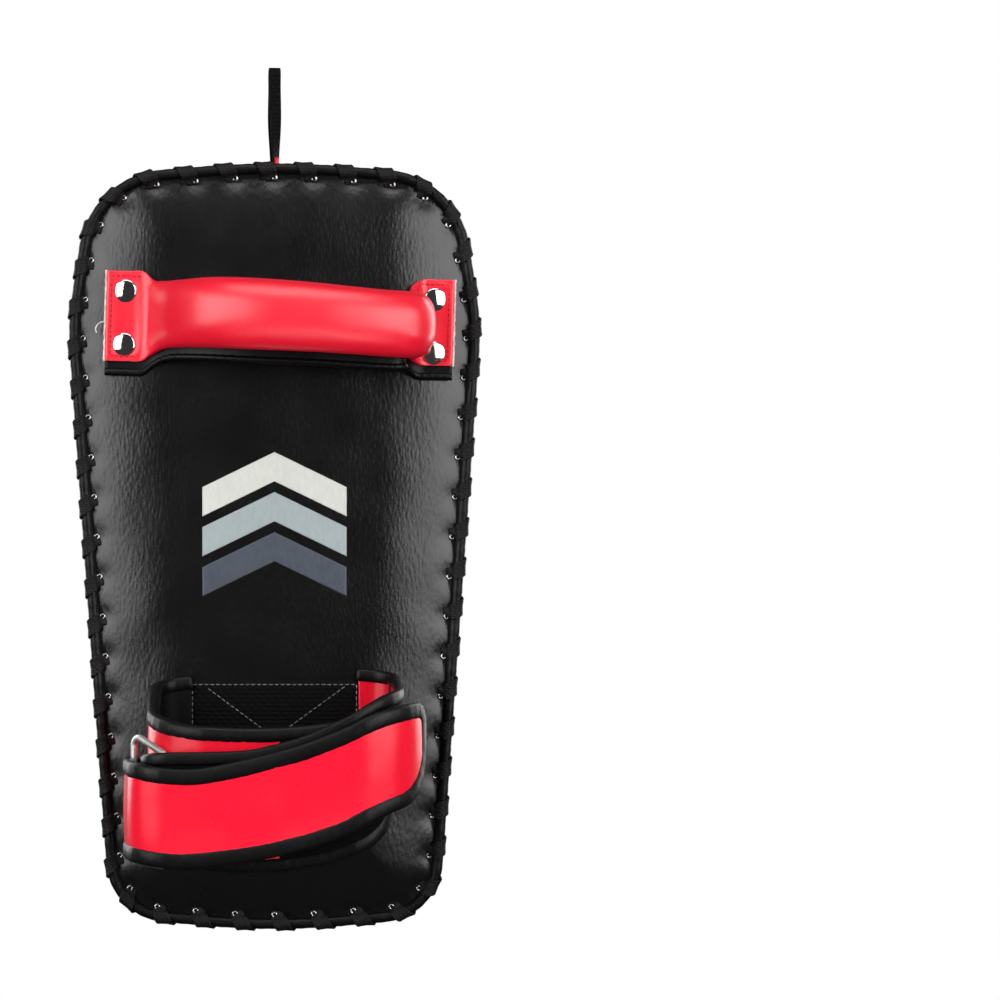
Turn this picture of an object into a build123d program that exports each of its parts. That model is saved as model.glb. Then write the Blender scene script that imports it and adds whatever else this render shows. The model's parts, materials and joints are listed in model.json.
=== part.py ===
from build123d import *
from math import cos, radians, sin, tan
import os

# A thai pad: a thick curved-corner kick pad with a padded handle and a forearm strap on its back.
# All lengths are in millimetres. +Z is up as the pad hangs from its loop, the strike face looks
# along +Y, and the holder's side, with the handle and the strap, looks along -Y.
# The origin is the inside of the loop's top, where a hook carries the pad.

# Pad body
BODY_HEIGHT = 392.0
BODY_DEPTH = 100.0
SHOULDER_HALF = 99.6
FOOT_HALF = 82.5
SHOULDER_RISE = 114.0
TOP_CORNER_INSET = 11.0
END_CROWN = 5.5
TOP_CORNER_RADIUS = 44.0
SHOULDER_RADIUS = 140.0
FOOT_CORNER_RADIUS = 30.0
LOOP_EYE_DROP = 57.0
PAD_CENTRE_Z = -(LOOP_EYE_DROP + BODY_HEIGHT / 2)
FACE_Y = BODY_DEPTH / 2
BACK_Y = -BODY_DEPTH / 2

# Cover and filling
LEATHER = 2.0
GUSSET_WALL = 1.6
FIT_GAP = 0.1
WELT_RADIUS = 1.8
WELT_INSET = 2.2
BOARD_THICKNESS = 1.7
CORE_BACK_Y = -15.0
CORE_FRONT_Y = 17.0

# Laced edge of the back
BEAD_RADIUS = 3.0
BEAD_SHOULDER_HALF = 102.5
BEAD_FOOT_HALF = 80.8
BEAD_HALF_HEIGHT = 193.2
BEAD_Y = BACK_Y + 0.6
LACE_COUNT = 52
LACE_WIDTH = 7.0
LACE_THICKNESS = 0.7
LACE_CLEARANCE = 0.2
LACE_INSET = 1.0
EYELET_INSET = 6.8
EYELET_RADIUS = 1.9
EYELET_BORE = 1.1
EYELET_RIM = 0.5

# Handle, drawn about its own centre, then moved and tilted
HANDLE_X = 2.7
HANDLE_Z = 117.0
HANDLE_TILT = 1.5
HANDLE_HALF_LENGTH = 89.0
HANDLE_LEG_FOOT = 64.0
HANDLE_LEG_TOP = 60.5
LEG_FOOT_BEND = 5.0
LEG_TOP_BEND = 20.0
LINING_BEND = 8.0
GRIP_GAP = 28.0
LINING_THICKNESS = 2.0
LINING_TOP = 22.0
LINING_BOTTOM = -29.0
HANDLE_LEATHER = 1.3
ROLL_HALF_HEIGHT = 17.4
ROLL_HALF_DEPTH = 13.8
ROLL_HALF_LENGTH = 62.5
ROLL_END_WALL = 3.5
TAB_HALF_HEIGHT = 22.0
TAB_THICKNESS = 2.0

# Rivets through the handle's ends
RIVET_X = 79.5
RIVET_Z = 13.7
RIVET_DROP = 2.0
RIVET_SHANK = 2.0
RIVET_HOLE = 2.05
RIVET_HEAD = 6.0
RIVET_DOME = 2.4
WASHER_THICKNESS = 0.8

# Forearm strap
PATCH_HALF_WIDTH = 43.0
PATCH_TOP = -68.0
PATCH_BOTTOM = -128.0
PATCH_THICKNESS = 1.8
ROOT_X = 43.5
ROOT_GAP = 3.0
BINDING_WIDTH = 5.0
WING_X = 60.2
WING_FRONT = 120.0
WING_TURN = 49.5
WING_TIP = (57.0, -105.0)
WING_HEIGHT = 68.0
WING_THICKNESS = 5.2
WING_SKIN = 1.0
WING_SLOPE = (0.03, 0.3, -49.5)
WING_BENDS = (12.0, 30.0, 18.0)
STRAP_HEIGHT = 51.0
STRAP_SKIN = 1.2
STRAP_THICKNESS = 3.0
STRAP_X = 63.5
STRAP_FRONT = 131.7
STRAP_CORNER = 28.0
STRAP_BEND = 12.0
TAIL_BEND = 22.0
STRAP_SLOPE = (0.215, 0.222, -64.0)
TAIL_SLOPE = (0.2, 0.22, -68.5)
TAIL_FRONT = 136.0
TAIL_X = 68.0
TAIL_GAP = 0.6
TAIL_END_ANGLE = 70.0
TAIL_END_RUN = 29.0
BINDING_PROUD = 0.3
BINDING_WALL_PROUD = 0.5

# Strap ring and its keeper: the strap turns round the ring's free bar
FOLD_RADIUS = 4.8
FOLD_LEAN = 7.4
FREE_BAR = Vector(-69.3, -99.8)
KEEPER_BAR = Vector(-52.7, -118.8)
RING_WIRE = 1.7
RING_CORNER = 4.0
RING_FREE_TOP = -92.0
RING_KEEPER_TOP = -100.5
RING_BOTTOM = -154.6
KEEPER_TOP = -106.0
KEEPER_BOTTOM = -146.5
KEEPER_CLEARANCE = 0.08
KEEPER_WALL = 1.2

# Hang loop: a ribbon folded into a narrow eye
RIBBON_WIDTH = 6.2
RIBBON_THICKNESS = 1.1
EYE_RADIUS = 4.0
LOOP_ROOT_HALF = 1.7
LOOP_PIVOT_Z = -53.3
ANCHOR_TOP_Z = -55.4
ANCHOR_LENGTH = 14.0
ANCHOR_WIDTH = 9.0

# Printed graphics: columns of plain chevrons
PRINT_DEPTH = 0.25
FACE_CHEVRON = (77.0, 34.0, 24.0)
FACE_PITCH = 77.5
FACE_PRINT_Z = 41.0
BACK_CHEVRON = (74.0, 15.0, 18.0)
BACK_PITCH = 20.5
BACK_PRINT_Z = 11.5
SMALL_PRINT_SCALE = 0.46
SMALL_PRINT_Z = -131.0
PRINT_STEPS = (("print_cream", 1), ("print_grey", 0), ("print_slate", -1))


def save(node, shape):
    """Write one node's solids to its own file."""
    export_step(shape, f"parts/{node}.step")


def outline(shoulder_half, foot_half, half_height):
    """Face with the pad's outline in X and Z about the pad's centre."""
    corner_z = half_height - END_CROWN
    top_half = shoulder_half - TOP_CORNER_INSET
    with BuildSketch() as sketch:
        with BuildLine():
            ThreePointArc((-top_half, corner_z), (0, half_height), (top_half, corner_z))
            Polyline((top_half, corner_z), (shoulder_half, SHOULDER_RISE), (foot_half, -corner_z))
            ThreePointArc((foot_half, -corner_z), (0, -half_height), (-foot_half, -corner_z))
            Polyline((-foot_half, -corner_z), (-shoulder_half, SHOULDER_RISE), (-top_half, corner_z))
        make_face()
        fillet(sketch.vertices().group_by(Axis.Y)[1], SHOULDER_RADIUS)
        fillet(sketch.vertices().group_by(Axis.Y)[-1], TOP_CORNER_RADIUS)
        fillet(sketch.vertices().group_by(Axis.Y)[0], FOOT_CORNER_RADIUS)
    return sketch.sketch


def facing(y):
    """Plane seen from the holder's side at depth y, with its origin at the pad's centre."""
    return Plane(origin=(0, y, PAD_CENTRE_Z), x_dir=(1, 0, 0), z_dir=(0, -1, 0))


def slab(face, y_low, y_high):
    """Solid of a face drawn in X and Z, between two depths."""
    return extrude(facing(y_high) * face, amount=y_high - y_low)


def edge_tube(face, radius, y):
    """Round cord that follows a face's outline at depth y."""
    path = (facing(y) * face).wire()
    section = Plane(origin=path @ 0, z_dir=path % 0) * Circle(radius)
    return sweep(section, path=path)


def stations(face, count, shift=0.0):
    """Points and tangents evenly spaced round a face's outline."""
    path = face.wire()
    for index in range(count):
        at = ((index + shift) / count) % 1.0
        yield path @ at, path % at


def offset_points(points, distance):
    """Points of an open line moved to its left by a distance, with mitred corners."""
    ways = [(b - a).normalized() for a, b in zip(points, points[1:])]
    lefts = [Vector(-way.Y, way.X) for way in ways]
    moved = [points[0] + lefts[0] * distance]
    for point, before, after in zip(points[1:-1], lefts, lefts[1:]):
        moved.append(point + (before + after) * (distance / (1 + before.dot(after))))
    moved.append(points[-1] + lefts[-1] * distance)
    return moved


def strip(points, radii, distance, thickness):
    """Band in plan: a rounded line, offset to its left, widened to a thickness."""
    ways = [(b - a).normalized() for a, b in zip(points, points[1:])]
    turns = [1 if a.X * b.Y - a.Y * b.X > 0 else -1 for a, b in zip(ways, ways[1:])]
    bent = [radius - turn * distance for radius, turn in zip(radii, turns)]
    moved = [(p.X, p.Y) for p in offset_points(points, distance)]
    return trace(FilletPolyline(*moved, radius=bent), thickness)


def between_slopes(band, slope, from_top, height):
    """Solid of a band in plan, cut by the slope of its top edge and a parallel one below it."""
    along_x, along_y, level = slope
    top = PAD_CENTRE_Z + level - from_top
    column = extrude(Pos(0, 0, PAD_CENTRE_Z - BODY_HEIGHT) * band, amount=2 * BODY_HEIGHT)
    span = 2 * BODY_HEIGHT
    cut = Plane(origin=(0, 0, top), z_dir=(-along_x, -along_y, 1)) * Rectangle(span, span)
    return column & extrude(cut, amount=height, dir=(0, 0, -1))


def shortened(points, length):
    """The same line, with its last run cut short by a length."""
    way = (points[-1] - points[-2]).normalized()
    return points[:-1] + [points[-1] - way * length]


def strap_layers(points, radii, slope, height, layers):
    """Layers of a strap between its two bound edges."""
    solids = []
    for distance, layer in layers:
        band = strip(points, radii, distance, layer)
        solids.append(between_slopes(band, slope, BINDING_WIDTH, height - 2 * BINDING_WIDTH))
    return solids


def bound_strap(points, radii, slope, height, layers, thickness, proud):
    """Layers of a strap, and the binding that frames its edges and its end."""
    inner = shortened(points, BINDING_WIDTH)
    solids = strap_layers(inner, radii, slope, height, layers)
    outer_band = strip(points, radii, 0, thickness + 2 * proud)
    window_band = strip(inner, radii, 0, thickness + 4 * proud)
    frame = between_slopes(outer_band, slope, 0, height)
    window = between_slopes(window_band, slope, BINDING_WIDTH, height - 2 * BINDING_WIDTH)
    return solids, frame - window


def make_body():
    """Cover, filling, welt and laced edge of the pad."""
    body = outline(SHOULDER_HALF, FOOT_HALF, BODY_HEIGHT / 2)
    bead = outline(BEAD_SHOULDER_HALF, BEAD_FOOT_HALF, BEAD_HALF_HEIGHT)
    inside = offset(body, -(GUSSET_WALL + FIT_GAP))
    face = offset(body, -(WELT_INSET + WELT_RADIUS + FIT_GAP))
    back = offset(bead, -(BEAD_RADIUS + FIT_GAP))
    welt_back = FACE_Y - LEATHER - WELT_RADIUS
    board_front = BACK_Y + LEATHER + FIT_GAP + BOARD_THICKNESS
    base_back = board_front + WASHER_THICKNESS + 2 * FIT_GAP

    inked = [slab(mark, FACE_Y - PRINT_DEPTH, FACE_Y) for _, mark in face_marks()]
    save("strike_cover", slab(face, FACE_Y - LEATHER, FACE_Y) - inked)
    save("strike_wadding", slab(face, welt_back + FIT_GAP, FACE_Y - LEATHER - FIT_GAP))
    save("strike_foam", slab(inside, CORE_FRONT_Y + FIT_GAP, welt_back - FIT_GAP))
    save("core_foam", slab(inside, CORE_BACK_Y + FIT_GAP, CORE_FRONT_Y))
    save("base_foam", slab(inside, base_back, CORE_BACK_Y))
    save("front_welt", edge_tube(offset(body, -WELT_INSET), WELT_RADIUS, FACE_Y - LEATHER))
    wall = body - offset(body, -GUSSET_WALL)
    save("side_gusset", slab(wall, base_back - FIT_GAP, welt_back - FIT_GAP))

    eyelet_line = offset(bead, -EYELET_INSET)
    rivets = [location * Cylinder(RIVET_HOLE, BODY_DEPTH) for location in rivet_places()]
    eyelet_holes = []
    eyelets = []
    for point, _ in stations(eyelet_line, LACE_COUNT):
        place = Pos(point.X, point.Y)
        eyelet_holes.append(slab(place * Circle(EYELET_RADIUS + FIT_GAP / 2), BACK_Y - 5, 0))
        ring = place * (Circle(EYELET_RADIUS) - Circle(EYELET_BORE))
        eyelets.append(slab(ring, BACK_Y - EYELET_RIM, BACK_Y + LEATHER))
    save("lacing_eyelets", Compound(eyelets))
    inked = [slab(mark, BACK_Y, BACK_Y + PRINT_DEPTH) for _, mark in back_marks()]
    save("back_panel", slab(back, BACK_Y, BACK_Y + LEATHER) - eyelet_holes - rivets - inked)
    save("back_board", slab(back, BACK_Y + LEATHER + FIT_GAP, board_front) - rivets)

    save("edge_bead", edge_tube(bead, BEAD_RADIUS, BEAD_Y))
    lace_inner = BEAD_RADIUS + LACE_CLEARANCE
    wrap = Circle(lace_inner + LACE_THICKNESS) - Circle(lace_inner)
    wrap = wrap - Pos(-BEAD_RADIUS * 2 - LACE_INSET, 0) * Rectangle(BEAD_RADIUS * 4, BEAD_RADIUS * 4)
    wraps = []
    for point, tangent in stations(bead, LACE_COUNT, shift=0.5):
        along = Vector(tangent.X, 0, tangent.Y)
        outward = Vector(tangent.Y, 0, -tangent.X)
        if outward.dot(Vector(point.X, 0, point.Y)) < 0:
            outward = -outward
        centre = Vector(point.X, BEAD_Y, PAD_CENTRE_Z + point.Y)
        plane = Plane(origin=centre, x_dir=outward, z_dir=along)
        wraps.append(extrude(plane * wrap, amount=LACE_WIDTH / 2, both=True))
    save("edge_lace", Compound(wraps))


def handle_place():
    """Where the handle's own centre sits on the back."""
    return Pos(HANDLE_X, BACK_Y, PAD_CENTRE_Z + HANDLE_Z) * Rot(0, HANDLE_TILT, 0)


def rivet_places():
    """One location for each rivet, with Z along its shank, out of the back."""
    for x in (-RIVET_X, RIVET_X):
        for z in (-RIVET_Z - RIVET_DROP, RIVET_Z - RIVET_DROP):
            yield handle_place() * Pos(x, 0, z) * Rot(90, 0, 0)


def make_handle():
    """Padded grip, its lining strap, and the rivets that hold both ends."""
    lining_y = -(FIT_GAP + LINING_THICKNESS / 2)
    lining_top = -(GRIP_GAP + LINING_THICKNESS / 2)
    corners = [
        (-HANDLE_HALF_LENGTH, lining_y),
        (-HANDLE_LEG_FOOT, lining_y),
        (-HANDLE_LEG_TOP, lining_top),
        (HANDLE_LEG_TOP, lining_top),
        (HANDLE_LEG_FOOT, lining_y),
        (HANDLE_HALF_LENGTH, lining_y),
    ]
    bends = [LEG_FOOT_BEND, LINING_BEND, LINING_BEND, LEG_FOOT_BEND]
    band = trace(FilletPolyline(*corners, radius=bends), LINING_THICKNESS)
    lining = extrude(Pos(0, 0, LINING_BOTTOM) * band, amount=LINING_TOP - LINING_BOTTOM)
    holes = [location * Cylinder(RIVET_HOLE, BODY_DEPTH) for location in rivet_places()]
    save("handle_lining", handle_place() * lining - holes)

    roll_y = -(GRIP_GAP + LINING_THICKNESS + FIT_GAP + ROLL_HALF_DEPTH)
    centre = Plane(origin=(0, roll_y, 0), x_dir=(0, 0, 1), z_dir=(1, 0, 0))
    skin = Ellipse(ROLL_HALF_HEIGHT, ROLL_HALF_DEPTH)
    void = Ellipse(ROLL_HALF_HEIGHT - HANDLE_LEATHER, ROLL_HALF_DEPTH - HANDLE_LEATHER)
    padding = Ellipse(
        ROLL_HALF_HEIGHT - HANDLE_LEATHER - FIT_GAP,
        ROLL_HALF_DEPTH - HANDLE_LEATHER - FIT_GAP,
    )
    void_half = ROLL_HALF_LENGTH - ROLL_END_WALL
    core = extrude(centre * padding, amount=void_half - FIT_GAP, both=True)
    save("handle_core", handle_place() * core)

    tab_y = -(2 * FIT_GAP + LINING_THICKNESS + TAB_THICKNESS / 2)
    leg_step = LINING_THICKNESS + 2 * FIT_GAP
    leg = [
        (-HANDLE_HALF_LENGTH, tab_y),
        (-HANDLE_LEG_FOOT - leg_step, tab_y),
        (-HANDLE_LEG_TOP - leg_step, lining_top),
        (-HANDLE_LEG_TOP - leg_step / 2, roll_y),
    ]
    leg_band = trace(FilletPolyline(*leg, radius=[LEG_FOOT_BEND, LEG_TOP_BEND]), TAB_THICKNESS)
    left_leg = extrude(Pos(0, 0, -TAB_HALF_HEIGHT) * leg_band, amount=2 * TAB_HALF_HEIGHT)
    neck = extrude(Pos(0, 0, -ROLL_HALF_HEIGHT) * leg_band, amount=2 * ROLL_HALF_HEIGHT)
    tab_zone = Pos(0, tab_y, 0) * Box(4 * HANDLE_HALF_LENGTH, 4 * TAB_THICKNESS, 4 * TAB_HALF_HEIGHT)
    left_side = (left_leg & tab_zone) + neck
    cover = extrude(centre * skin, amount=ROLL_HALF_LENGTH, both=True)
    cover = cover + left_side + mirror(left_side, about=Plane.YZ)
    cover = cover - extrude(centre * void, amount=void_half, both=True)
    save("handle_cover", handle_place() * cover - holes)

    head_height = -tab_y + TAB_THICKNESS / 2 + FIT_GAP
    inner_height = -(LEATHER + FIT_GAP + BOARD_THICKNESS + FIT_GAP / 2 + WASHER_THICKNESS)
    ball_radius = (RIVET_HEAD**2 + RIVET_DOME**2) / (2 * RIVET_DOME)
    dome = Pos(0, 0, head_height + RIVET_DOME - ball_radius) * Sphere(ball_radius)
    dome = dome & Pos(0, 0, head_height + RIVET_DOME) * Cylinder(RIVET_HEAD, 2 * RIVET_DOME)
    shank = Pos(0, 0, inner_height) * extrude(Circle(RIVET_SHANK), amount=head_height - inner_height)
    ring = Circle(RIVET_HEAD) - Circle(RIVET_HOLE)
    washer = Pos(0, 0, inner_height) * extrude(ring, amount=WASHER_THICKNESS)
    save("handle_rivets", Compound([location * (dome + shank) for location in rivet_places()]))
    save("rivet_washers", Compound([location * washer for location in rivet_places()]))


def fold_frame():
    """Direction in which the strap reaches the free bar, and the direction into the loop."""
    lean = radians(FOLD_LEAN)
    return Vector(-sin(lean), cos(lean)), Vector(cos(lean), sin(lean))


def make_strap():
    """Forearm strap: sewn patch, padded wing, closing strap, ring with its keeper, and tail."""
    patch_size = Rectangle(2 * PATCH_HALF_WIDTH, PATCH_TOP - PATCH_BOTTOM)
    patch = Pos(0, (PATCH_TOP + PATCH_BOTTOM) / 2) * patch_size
    save("strap_base_patch", slab(patch, BACK_Y - FIT_GAP - PATCH_THICKNESS, BACK_Y - FIT_GAP))

    # The wing starts at the left end of the patch, runs left, out and to the right, and turns back.
    wing_root = BACK_Y - ROOT_GAP - (WING_THICKNESS - STRAP_THICKNESS) / 2
    wing = [
        Vector(-ROOT_X, wing_root),
        Vector(-WING_X, wing_root),
        Vector(-WING_X, -WING_FRONT),
        Vector(WING_TURN, -WING_FRONT),
        Vector(WING_TIP),
    ]
    middle = WING_THICKNESS - 2 * (WING_SKIN + FIT_GAP / 2)
    edge = (WING_THICKNESS - WING_SKIN) / 2
    layers = [(edge, WING_SKIN), (0, middle), (-edge, WING_SKIN)]
    solids, binding = bound_strap(
        wing, WING_BENDS, WING_SLOPE, WING_HEIGHT, layers, WING_THICKNESS, BINDING_WALL_PROUD
    )
    for node, solid in zip(("wing_lining", "wing_foam", "wing_face"), solids):
        save(node, solid)
    save("wing_binding", binding)

    # The closing strap starts at the right end, and its last runs turn round the free bar.
    toward, inward = fold_frame()
    before = FREE_BAR + inward * FOLD_RADIUS
    after = FREE_BAR - inward * FOLD_RADIUS
    run_in = (before.Y + STRAP_FRONT) / toward.Y
    corner = before - toward * run_in
    strap_root = BACK_Y - ROOT_GAP
    closing = [
        Vector(ROOT_X, strap_root),
        Vector(STRAP_X, strap_root),
        Vector(STRAP_X, -STRAP_FRONT),
        corner,
        before + toward * FOLD_RADIUS,
        after + toward * FOLD_RADIUS,
        after,
    ]
    fold = FOLD_RADIUS - FIT_GAP
    bends = [STRAP_BEND, STRAP_CORNER, STRAP_BEND, fold, fold]
    pile = STRAP_THICKNESS - STRAP_SKIN - FIT_GAP / 2
    sides = [(-(STRAP_THICKNESS - STRAP_SKIN) / 2, STRAP_SKIN), ((STRAP_THICKNESS - pile) / 2, pile)]
    face, loops = strap_layers(closing, bends, STRAP_SLOPE, STRAP_HEIGHT, sides)
    save("strap_face", face)
    save("strap_pile", loops)
    edging = strip(closing, bends, 0, STRAP_THICKNESS + 2 * BINDING_PROUD)
    lower = STRAP_HEIGHT - BINDING_WIDTH
    edges = [between_slopes(edging, STRAP_SLOPE, from_top, BINDING_WIDTH) for from_top in (0, lower)]
    save("strap_binding", Compound(edges))

    # The tail goes on from the fold, across the front, and round the right corner.
    tail_corner = after - toward * ((after.Y + TAIL_FRONT) / toward.Y)
    corner_radius = TAIL_FRONT - STRAP_FRONT + STRAP_CORNER
    turn_x = TAIL_X - STRAP_CORNER + corner_radius * tan(radians(TAIL_END_ANGLE / 2))
    end_way = Vector(cos(radians(TAIL_END_ANGLE)), sin(radians(TAIL_END_ANGLE)))
    tail = [
        after - toward * TAIL_GAP,
        tail_corner,
        Vector(turn_x, -TAIL_FRONT),
        Vector(turn_x, -TAIL_FRONT) + end_way * TAIL_END_RUN,
    ]
    tail_bends = [TAIL_BEND, corner_radius]
    solids, binding = bound_strap(
        tail, tail_bends, TAIL_SLOPE, STRAP_HEIGHT, sides, STRAP_THICKNESS, BINDING_PROUD
    )
    for node, solid in zip(("tail_face", "tail_hook"), solids):
        save(node, solid)
    save("tail_binding", binding)


def make_ring():
    """Rectangular wire ring, and the keeper that holds one bar of it against the wing."""
    span = FREE_BAR - KEEPER_BAR
    foot = Vector(KEEPER_BAR.X, KEEPER_BAR.Y, PAD_CENTRE_Z + RING_BOTTOM)
    plane = Plane(origin=foot, x_dir=span, z_dir=(span.Y, -span.X, 0))
    corners = [
        (0, 0),
        (span.length, 0),
        (span.length, RING_FREE_TOP - RING_BOTTOM),
        (0, RING_KEEPER_TOP - RING_BOTTOM),
    ]
    path = plane * FilletPolyline(*corners, radius=RING_CORNER, close=True)
    section = Plane(origin=path @ 0, z_dir=path % 0) * Circle(RING_WIRE)
    save("strap_ring", sweep(section, path=path))

    # The keeper is a sleeve round the bar, with a flap that is sewn to the wing's outside.
    wing_bend = WING_BENDS[1]
    corner = Vector(-WING_X + wing_bend, -WING_FRONT + wing_bend)
    bore = RING_WIRE + KEEPER_CLEARANCE
    flap_inner = wing_bend + WING_THICKNESS / 2 + BINDING_WALL_PROUD + FIT_GAP
    with BuildSketch() as flap:
        with Locations((corner.X, corner.Y)):
            Circle(flap_inner + KEEPER_WALL)
            Circle(flap_inner, mode=Mode.SUBTRACT)
        with BuildLine():
            Polyline(
                (corner.X, corner.Y),
                KEEPER_BAR * 2 - corner,
                (corner.X, -2 * WING_FRONT),
                (corner.X, corner.Y),
            )
        make_face(mode=Mode.INTERSECT)
    sleeve = Pos(KEEPER_BAR.X, KEEPER_BAR.Y) * (Circle(bore + KEEPER_WALL) - Circle(bore))
    section = (flap.sketch - Pos(KEEPER_BAR.X, KEEPER_BAR.Y) * Circle(bore)) + sleeve
    keeper = extrude(Pos(0, 0, PAD_CENTRE_Z + KEEPER_BOTTOM) * section, amount=KEEPER_TOP - KEEPER_BOTTOM)
    save("ring_keeper", keeper)


def make_loop():
    """Hang loop of ribbon, and the leather tab on the gusset that it comes out of."""
    eye_z = -EYE_RADIUS
    outer_radius = EYE_RADIUS + RIBBON_THICKNESS
    inner_root = LOOP_ROOT_HALF - RIBBON_THICKNESS
    join_z = LOOP_PIVOT_Z + LOOP_ROOT_HALF
    outer_legs = Polygon(
        (-LOOP_ROOT_HALF, LOOP_PIVOT_Z),
        (LOOP_ROOT_HALF, LOOP_PIVOT_Z),
        (outer_radius, eye_z),
        (-outer_radius, eye_z),
        align=None,
    )
    inner_legs = Polygon(
        (-inner_root, join_z),
        (inner_root, join_z),
        (EYE_RADIUS, eye_z),
        (-EYE_RADIUS, eye_z),
        align=None,
    )
    outer = outer_legs + Pos(0, eye_z) * Circle(outer_radius) + Pos(0, LOOP_PIVOT_Z) * Circle(LOOP_ROOT_HALF)
    inner = inner_legs + Pos(0, eye_z) * Circle(EYE_RADIUS)
    side = Plane(origin=(0, 0, 0), x_dir=(0, 1, 0), z_dir=(1, 0, 0))
    save("hang_loop", extrude(side * (outer - inner), amount=RIBBON_WIDTH / 2, both=True))

    height = ANCHOR_TOP_Z + LOOP_EYE_DROP - FIT_GAP
    tab = Pos(0, 0, ANCHOR_TOP_Z - height / 2) * Box(ANCHOR_LENGTH, ANCHOR_WIDTH, height)
    save("loop_anchor", tab)


def chevron(size, z):
    """One chevron that points up, in X and Z about the pad's centre."""
    width, band, rise = size
    bottom = z - (band + rise) / 2
    return Polygon(
        (-width / 2, bottom),
        (0, bottom + rise),
        (width / 2, bottom),
        (width / 2, bottom + band),
        (0, bottom + band + rise),
        (-width / 2, bottom + band),
        align=None,
    )


def face_marks():
    """Each mark on the strike face, with the node that it belongs to."""
    for step in (-1, 0, 1):
        yield "print_red", chevron(FACE_CHEVRON, FACE_PRINT_Z + step * FACE_PITCH)
    small = [length * SMALL_PRINT_SCALE for length in BACK_CHEVRON]
    for node, step in PRINT_STEPS:
        yield node, chevron(small, SMALL_PRINT_Z + step * BACK_PITCH * SMALL_PRINT_SCALE)


def back_marks():
    """Each mark on the back, with the node that it belongs to."""
    for node, step in PRINT_STEPS:
        yield node, chevron(BACK_CHEVRON, BACK_PRINT_Z + step * BACK_PITCH)


def make_prints():
    """Ink that lies flush in the leather: red chevrons on the face, and three colours on both sides."""
    inks = {}
    for node, mark in face_marks():
        inks.setdefault(node, []).append(slab(mark, FACE_Y - PRINT_DEPTH, FACE_Y))
    for node, mark in back_marks():
        inks.setdefault(node, []).append(slab(mark, BACK_Y, BACK_Y + PRINT_DEPTH))
    for node, solids in inks.items():
        save(node, Compound(solids))


os.makedirs("parts", exist_ok=True)
make_body()
make_handle()
make_strap()
make_ring()
make_loop()
make_prints()
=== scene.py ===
import json
from math import atan2, cos, pi, radians, sin, sqrt, tan

import bmesh
import bpy
import numpy as np
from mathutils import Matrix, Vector, noise


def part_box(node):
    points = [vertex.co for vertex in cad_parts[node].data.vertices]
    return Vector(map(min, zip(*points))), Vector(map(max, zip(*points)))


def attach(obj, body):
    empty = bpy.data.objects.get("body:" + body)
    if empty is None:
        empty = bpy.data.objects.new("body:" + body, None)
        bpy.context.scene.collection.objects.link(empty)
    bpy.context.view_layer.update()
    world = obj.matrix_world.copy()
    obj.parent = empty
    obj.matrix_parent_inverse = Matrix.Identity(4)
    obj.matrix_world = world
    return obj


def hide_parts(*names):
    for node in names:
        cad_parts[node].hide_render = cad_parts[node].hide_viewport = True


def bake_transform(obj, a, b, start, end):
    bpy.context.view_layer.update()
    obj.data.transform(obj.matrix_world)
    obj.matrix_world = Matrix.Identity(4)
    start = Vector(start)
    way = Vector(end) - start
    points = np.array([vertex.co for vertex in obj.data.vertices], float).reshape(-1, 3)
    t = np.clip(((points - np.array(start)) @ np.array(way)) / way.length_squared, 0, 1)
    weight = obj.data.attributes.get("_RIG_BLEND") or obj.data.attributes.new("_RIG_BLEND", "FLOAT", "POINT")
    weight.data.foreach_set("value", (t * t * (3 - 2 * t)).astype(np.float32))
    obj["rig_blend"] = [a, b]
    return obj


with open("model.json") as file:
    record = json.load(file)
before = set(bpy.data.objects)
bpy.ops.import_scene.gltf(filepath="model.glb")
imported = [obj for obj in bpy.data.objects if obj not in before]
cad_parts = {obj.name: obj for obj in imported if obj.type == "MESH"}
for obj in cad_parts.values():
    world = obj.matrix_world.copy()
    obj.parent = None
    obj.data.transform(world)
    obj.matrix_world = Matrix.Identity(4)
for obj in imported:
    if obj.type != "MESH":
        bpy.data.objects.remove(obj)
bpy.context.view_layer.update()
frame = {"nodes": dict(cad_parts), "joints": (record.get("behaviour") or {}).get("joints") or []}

# Looks of the thai pad, in millimetres until a mesh is made. The back, with the handle and the
# forearm strap, looks along -Y, and the strike face along +Y. +Z is up as the pad hangs.
MM = 0.001


def cad(node):
    """A node's lowest and highest corners in millimetres."""
    low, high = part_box(node)
    return np.array(low) / MM, np.array(high) / MM


# Sizes that come from the frame
GUSSET_LOW, GUSSET_HIGH = cad("side_gusset")
BEAD_LOW, BEAD_HIGH = cad("edge_bead")
PANEL_LOW, PANEL_HIGH = cad("back_panel")
FACE_LOW, FACE_HIGH = cad("strike_cover")
CENTRE_Z = (GUSSET_LOW[2] + GUSSET_HIGH[2]) / 2
HALF_HEIGHT = (GUSSET_HIGH[2] - GUSSET_LOW[2]) / 2
SHOULDER_HALF = (GUSSET_HIGH[0] - GUSSET_LOW[0]) / 2 + 0.9
BEAD_HALF_HEIGHT = (BEAD_HIGH[2] - BEAD_LOW[2]) / 2 - 2.1
BACK_Y = PANEL_LOW[1]
FACE_Y = FACE_HIGH[1]

# Shape of the cover
FOOT_HALF = 82.5
OUTLINE_POINTS = 832
BEAD_SHOULDER = 103.9
BEAD_FOOT = 82.2
BEAD_RADIUS = 2.7
BEAD_Y = BACK_Y + 3.6
FRONT_SEAM_Y = FACE_Y - 4.0
LACE_COUNT = 52
EYELET_INSET = 4.5
BOARD_INSET = 20.0
FOAM_INSET = 9.0
ROLL_WIDTH = 42.0


# ---------------------------------------------------------------- mesh helpers

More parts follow.
